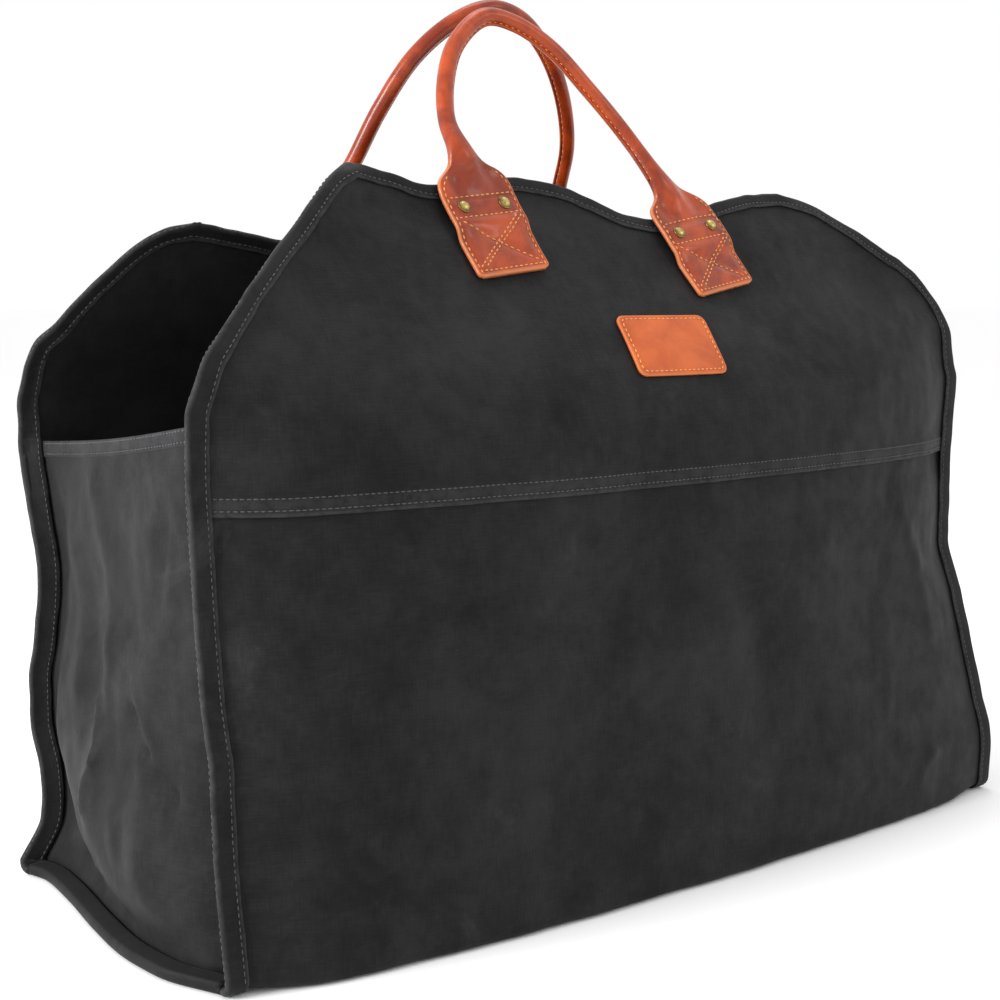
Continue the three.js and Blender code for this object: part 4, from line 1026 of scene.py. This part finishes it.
def patch_leather():
    """The blank patch: a rounded plate bent to the front, with a pressed line for its stitches."""
    centre_x, centre_z = PATCH_ALONG * HALF_LENGTH, PATCH_UP * PEAK_HEIGHT
    rise = unit(front.point(centre_x, centre_z + 1) - front.point(centre_x, centre_z - 1))[2]
    half = np.array([PATCH_WIDTH / 2, PATCH_HEIGHT / 2])
    corner = np.linspace(0, math.pi / 2, 7)
    outline = []
    for quarter, (sx, sz) in enumerate(((1, 1), (-1, 1), (-1, -1), (1, -1))):
        arc = corner + quarter * math.pi / 2
        middle = np.array([sx, sz]) * (half - PATCH_CORNER)
        outline += [middle + PATCH_CORNER * np.array([math.cos(a), math.sin(a)]) for a in arc]
    outline = np.array(outline)
    dense = evenly(np.concatenate([outline, outline[:1]]), 1.6)[:-1]
    count = len(dense)
    rings = [(0, 0, 0), (0, 0.9, 0.6), (0, 1.35, 1), (0.35, 1.75, 0.6), (1.0, 1.95, 0.15), (1.9, 1.95, 0), (2.6, 1.6, 0),
             (3.2, 1.95, 0), (4.4, 2.0, 0), (7, 2.05, 0), (11, 2.1, 0), (15, 2.15, 0), (18.5, 2.15, 0)]
    points, marks = [], []
    for inset, height, edge in rings:
        scale = (half - inset) / half
        x = centre_x + dense[:, 0] * scale[0]
        z = centre_z + dense[:, 1] * scale[1] * rise
        points.append(front.inside(x, z, -2 * CLEARANCE - height * PATCH_THICKNESS / 2.0))
        marks += [edge] * count
    centre = front.inside(np.array([centre_x]), np.array([centre_z]), -2 * CLEARANCE - 2.15 * PATCH_THICKNESS / 2.0)
    under = front.inside(np.array([centre_x]), np.array([centre_z]), -2 * CLEARANCE)
    points = np.concatenate([*points, centre, under])
    marks += [0, 0]
    faces = []
    rows = len(rings)
    for row in range(rows - 1):
        for k in range(count):
            n = (k + 1) % count
            faces.append([row * count + k, row * count + n, (row + 1) * count + n, (row + 1) * count + k])
    for k in range(count):
        n = (k + 1) % count
        faces.append([(rows - 1) * count + k, (rows - 1) * count + n, rows * count])
        faces.append([n, k, rows * count + 1])
    volume = sum(np.dot(points[f[0]], np.cross(points[f[1]], points[f[2]])) for f in faces)
    if volume < 0:
        faces = [face[::-1] for face in faces]
    return piece_of("patch_leather_plate", points, faces, [patch_finish], ["leather_patch"],
                    marks={"cut": np.array(marks)})


patch_leather()


# Threads and seam ridges, each grown along its line by a node tree

THREAD_PITCH = 3.6
THREAD_LENGTH = 2.7
THREAD_THICKNESS = 0.8


def tree_of(name, sizes):
    """An empty node tree with named sizes and a material for its inputs."""
    tree = bpy.data.node_groups.new(name, "GeometryNodeTree")
    tree.interface.new_socket("Geometry", in_out="INPUT", socket_type="NodeSocketGeometry")
    for title in sizes:
        tree.interface.new_socket(title, in_out="INPUT", socket_type="NodeSocketFloat")
    tree.interface.new_socket("Finish", in_out="INPUT", socket_type="NodeSocketMaterial")
    tree.interface.new_socket("Geometry", in_out="OUTPUT", socket_type="NodeSocketGeometry")
    return tree, tree.nodes.new("NodeGroupInput").outputs


def add(tree, kind, settings=(), **values):
    made = tree.nodes.new(kind)
    for key, value in dict(settings).items():
        setattr(made, key, value)
    for key, value in values.items():
        target = made.inputs[key.replace("_", " ")]
        if hasattr(value, "is_output"):
            tree.links.new(value, target)
        else:
            target.default_value = value
    return made


def finished(tree, geometry, finish):
    """The end of every tree: real geometry, smooth, in its finish."""
    solid = add(tree, "GeometryNodeRealizeInstances", Geometry=geometry).outputs["Geometry"]
    smooth = add(tree, "GeometryNodeSetShadeSmooth", Geometry=solid).outputs["Geometry"]
    dressed = add(tree, "GeometryNodeSetMaterial", Geometry=smooth, Material=finish).outputs["Geometry"]
    tree.links.new(dressed, tree.nodes.new("NodeGroupOutput").inputs["Geometry"])
    return tree


def stitch_tree():
    """Small thread bars at even steps along every line, each a little different in length and thickness."""
    tree, given = tree_of("stitch_rows", ["Pitch", "Length", "Thickness"])
    line = add(tree, "GeometryNodeMeshToCurve", Mesh=given["Geometry"]).outputs["Curve"]
    steps = add(tree, "GeometryNodeResampleCurve", {"mode": "LENGTH"}, Curve=line, Length=given["Pitch"])
    outward = add(tree, "GeometryNodeInputNamedAttribute", {"data_type": "FLOAT_VECTOR"}, Name="up")
    outward = next(s for s in outward.outputs if s.enabled and s.name == "Attribute")
    along = tree.nodes.new("GeometryNodeInputTangent").outputs["Tangent"]
    first = add(tree, "FunctionNodeAlignRotationToVector", {"axis": "X"}, Vector=along)
    turned = add(tree, "FunctionNodeAlignRotationToVector", {"axis": "Z", "pivot_axis": "X"},
                 Rotation=first.outputs["Rotation"], Vector=outward)
    uneven = add(tree, "FunctionNodeRandomValue", {"data_type": "FLOAT_VECTOR"},
                 Min=(0.86, 0.9, 0.85), Max=(1.08, 1.1, 1.15), Seed=5).outputs["Value"]
    even = add(tree, "ShaderNodeCombineXYZ", X=given["Length"], Y=given["Thickness"], Z=given["Thickness"])
    size = tree.nodes.new("ShaderNodeVectorMath")
    size.operation = "MULTIPLY"
    tree.links.new(even.outputs["Vector"], size.inputs[0])
    tree.links.new(uneven, size.inputs[1])
    bar = add(tree, "GeometryNodeMeshUVSphere", Segments=8, Rings=4, Radius=0.5).outputs["Mesh"]
    laid = add(tree, "GeometryNodeInstanceOnPoints", Points=steps.outputs["Curve"], Instance=bar,
               Rotation=turned.outputs["Rotation"], Scale=size.outputs["Vector"])
    return finished(tree, laid.outputs["Instances"], given["Finish"])


def ridge_tree():
    """A round ridge of leather along every line."""
    tree, given = tree_of("seam_ridge", ["Radius"])
    line = add(tree, "GeometryNodeMeshToCurve", Mesh=given["Geometry"]).outputs["Curve"]
    section = add(tree, "GeometryNodeCurvePrimitiveCircle", Resolution=8, Radius=given["Radius"]).outputs["Curve"]
    swept = add(tree, "GeometryNodeCurveToMesh", Curve=line, Profile_Curve=section, Fill_Caps=True)
    return finished(tree, swept.outputs["Mesh"], given["Finish"])


def grown(name, lines, tree, sizes, finish):
    """A piece that a tree grows along lines; each line is its places and their outward directions."""
    points, ups, edges = [], [], []
    for line, up in lines:
        edges += [(len(points) + n, len(points) + n + 1) for n in range(len(line) - 1)]
        points += list(line)
        ups += list(np.broadcast_to(up, np.shape(line)))
    mesh = bpy.data.meshes.new(name + "_line")
    mesh.from_pydata((settled(points) * MM).tolist(), edges, [])
    mesh.attributes.new("up", "FLOAT_VECTOR", "POINT").data.foreach_set("vector", np.array(ups).ravel())
    made = bpy.data.objects.new(name, mesh)
    bpy.context.scene.collection.objects.link(made)
    modifier = made.modifiers.new("grow", "NODES")
    modifier.node_group = tree
    for item in tree.interface.items_tree:
        if item.item_type == "SOCKET" and item.in_out == "INPUT" and item.name in sizes:
            modifier[item.identifier] = sizes[item.name] * MM
        if item.item_type == "SOCKET" and item.in_out == "INPUT" and item.name == "Finish":
            modifier[item.identifier] = finish
    bpy.context.view_layer.update()
    solid = bpy.data.meshes.new_from_object(made.evaluated_get(bpy.context.evaluated_depsgraph_get()))
    made.modifiers.remove(modifier)
    made.data = solid
    solid.name = name
    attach(made, "root")
    return made


stitches = stitch_tree()
seam_ridges = ridge_tree()


def thread(name, lines, finish, pitch=THREAD_PITCH, length=THREAD_LENGTH, thickness=THREAD_THICKNESS):
    return grown(name, lines, stitches, {"Pitch": pitch, "Length": length, "Thickness": thickness}, finish)


def over(panel, x, z, height):
    """A line on a panel at a height over its face."""
    x, z = np.broadcast_arrays(np.asarray(x, float), np.asarray(z, float))
    return panel.inside(x, z, -height), -panel.inward(x, z)


def between(start, stop, spacing=3.0):
    start, stop = np.array(start, float), np.array(stop, float)
    count = max(2, int(np.linalg.norm(stop - start) / spacing) + 1)
    return np.linspace(start, stop, count)


seam_x = np.linspace(-268, 268, 180)
for title, panel in (("front", front), ("back", back)):
    rows = [over(panel, seam_x, SEAM_HEIGHT + rise + 0 * seam_x, lift) for rise, lift in ((2.7, 0.55), (8.4, 0.35))]
    thread(f"{title}_seam_thread", rows, dark_thread, 3.2, 2.5, 0.62)


def tape_lines(panel):
    """The tape's stitch rows: near its inner edge on both faces, and along its nose by the ends."""
    path, into = tape_stations(panel)
    x, z = path.T
    width = mix(TAPE_WIDTH, TOP_WIDTH, ease((z - SIDE_HEIGHT) / 60))
    held = 1 - ease((z - GUSSET_BACK) / (SIDE_HEIGHT - GUSSET_BACK))
    far = seam_depth(z + BASE_LIFT) + held * (CANVAS + CLEARANCE) + TAPE
    rows = []
    for reach, depth, sign in ((width - 2.4, -CLEARANCE - TAPE - 0.05, -1), (width - 2.4, far + 0.1, 1)):
        line = panel.inside(x + into[:, 0] * reach, z + into[:, 1] * reach, depth)
        rows.append((line, sign * panel.inward(x, z)))
    nose = panel.inside(x + into[:, 0] * -1.15, z + into[:, 1] * -1.15, 1.6 + 0 * z)
    rows.append((nose, np.stack([-into[:, 0], 0 * x, -into[:, 1]], 1)))
    return rows


for title, panel in (("front", front), ("back", back)):
    thread(f"{title}_tape_thread", tape_lines(panel), dark_thread, 3.4, 2.4, 0.6)


def hem_lines(side, seed):
    slack = ripples(seed, 22, 120)
    across = np.linspace(0.04, 0.96, 120)
    rows = []
    for rise in (1.9, 7.6):
        z = gusset_top(across) - HEM_DEPTH + rise
        place = gusset_point(side, across, z, slack) + np.array([side * (HEM_STEP + 0.05), 0, 0])
        rows.append((place, np.array([side, 0, 0])))
    return rows


thread("left_hem_thread", hem_lines(-1, 31), dark_thread, 3.2, 2.5, 0.6)
thread("right_hem_thread", hem_lines(1, 37), dark_thread, 3.2, 2.5, 0.6)


def tab_lines(handle):
    """Every stitch row of a handle's two tabs."""
    rows = []
    for end in (0, 1):
        climb = np.arange(-TAB_LOW, 21.5, 1.5)
        inset = shoulder.read("width", climb) / 2 - STITCH_INSET - 1.2 * ease((climb - 12) / 8)
        for hand in (-1, 1):
            rows.append(on_leather(handle, end, climb, hand * inset, 0.15))
        paths = [between((-TAB_LOW, -TAB_SIDE + 3), (-TAB_LOW, TAB_SIDE - 3))]
        paths += [between((ROW_ABOVE, -TAB_SIDE + 3), (ROW_ABOVE, TAB_SIDE - 3))]
        paths += [between((-ROW_BELOW, -TAB_SIDE + 3), (-ROW_BELOW, TAB_SIDE - 3))]
        paths += [between((-ROW_BELOW - 3, -TAB_SIDE + 4), (-TAB_LOW + 3, TAB_SIDE - 4))]
        for shift in (-1.9, 1.9):
            paths += [between((-TAB_LOW + 3, -TAB_SIDE + 4 + shift), (-ROW_BELOW - 3, TAB_SIDE - 4 + shift))]
        for path in paths:
            rows.append(on_leather(handle, end, path[:, 0], path[:, 1], 0.15))
    return rows


def grip_seam(handle, lift):
    """The line where the grip's leather closes, on the inner side of the arch."""
    inside = (handle.from_foot > TAB_FOOT + 40)
    middle = handle.path[inside]
    side = handle.side[inside]
    width = handle.widths[inside][:, None] / 2
    centre = middle.mean(0)
    toward = np.sign((side * (centre - middle)).sum(1).sum())
    out = side * toward
    return middle + out * (width + lift), out


for title, line in (("front", front_line), ("back", back_line)):
    thread(f"{title}_handle_thread", tab_lines(line), gold_thread, THREAD_PITCH, 2.5, 0.85)
    seam = grip_seam(line, 0.25)
    grown(f"{title}_grip_seam", [seam], seam_ridges, {"Radius": 0.95}, handle_finish)
    rows = []
    for shift in (-1.5, 1.5):
        places, out = grip_seam(line, -0.25)
        twist = unit(np.cross(np.gradient(places, axis=0), out))
        rows.append((places + twist * shift, out))
    thread(f"{title}_grip_thread", rows, gold_thread, 4.0, 2.2, 0.55)


def patch_rows():
    half = np.array([PATCH_WIDTH / 2, PATCH_HEIGHT / 2]) - 2.7
    rise = unit(front.point(PATCH_ALONG * HALF_LENGTH, PATCH_UP * PEAK_HEIGHT + 1)
                - front.point(PATCH_ALONG * HALF_LENGTH, PATCH_UP * PEAK_HEIGHT - 1))[2]
    corner = PATCH_CORNER - 2.2
    outline = []
    for quarter, signs in enumerate(((1, 1), (-1, 1), (-1, -1), (1, -1))):
        arc = np.linspace(0, math.pi / 2, 5) + quarter * math.pi / 2
        outline += [np.array(signs) * (half - corner) + corner * np.array([math.cos(a), math.sin(a)]) for a in arc]
    outline = evenly(np.array(outline + outline[:1]), 2.0)
    x = PATCH_ALONG * HALF_LENGTH + outline[:, 0]
    z = PATCH_UP * PEAK_HEIGHT + outline[:, 1] * rise
    return [over(front, x, z, 2 * CLEARANCE + 1.75)]


thread("patch_thread", patch_rows(), gold_thread, 3.4, 2.4, 0.85)


# Studio

def studio():
    bpy.context.scene.view_settings.view_transform = "Standard"
    ground = bpy.data.meshes.new("studio_floor")
    ground.from_pydata([(-30, -30, -0.0005), (30, -30, -0.0005), (30, 30, -0.0005), (-30, 30, -0.0005)], [], [(0, 1, 2, 3)])
    floor = bpy.data.objects.new("studio_floor", ground)
    made = Finish("studio_paper", (0.985, 0.985, 0.985), 0.9)
    ground.materials.append(made.material)
    bpy.context.scene.collection.objects.link(floor)
    world = bpy.data.worlds.new("studio_world")
    world.use_nodes = True
    back_light = world.node_tree.nodes["Background"]
    back_light.inputs["Color"].default_value = (1, 1, 1, 1)
    back_light.inputs["Strength"].default_value = 1.0
    bpy.context.scene.world = world
    lamps = [
        ("key", (-2.4, 0.1, 1.0), 62, 0.9), ("fill", (1.3, -1.9, 1.4), 5, 0.7), ("top", (0.3, 0.3, 2.2), 9, 1.0),
    ]
    for name, place, power, size in lamps:
        light = bpy.data.lights.new(name, "AREA")
        light.energy, light.size = power, size
        lamp = bpy.data.objects.new(name, light)
        lamp.location = place
        aim = -np.array(place) + np.array([0, 0, 0.2])
        lamp.rotation_mode = "QUATERNION"
        lamp.rotation_quaternion = Vector(aim).to_track_quat("-Z", "Y")
        bpy.context.scene.collection.objects.link(lamp)


studio()

camera = bpy.data.objects.new("camera", bpy.data.cameras.new("camera"))
camera.location = (-0.61772, -0.78945, 0.325)
camera.rotation_euler = (math.radians(90 - 7.05), 0, math.radians(-36.5))
camera.data.lens = 59.98
camera.data.sensor_width = 36
camera.data.clip_start, camera.data.clip_end = 0.05, 100
bpy.context.scene.collection.objects.link(camera)
bpy.context.scene.camera = camera
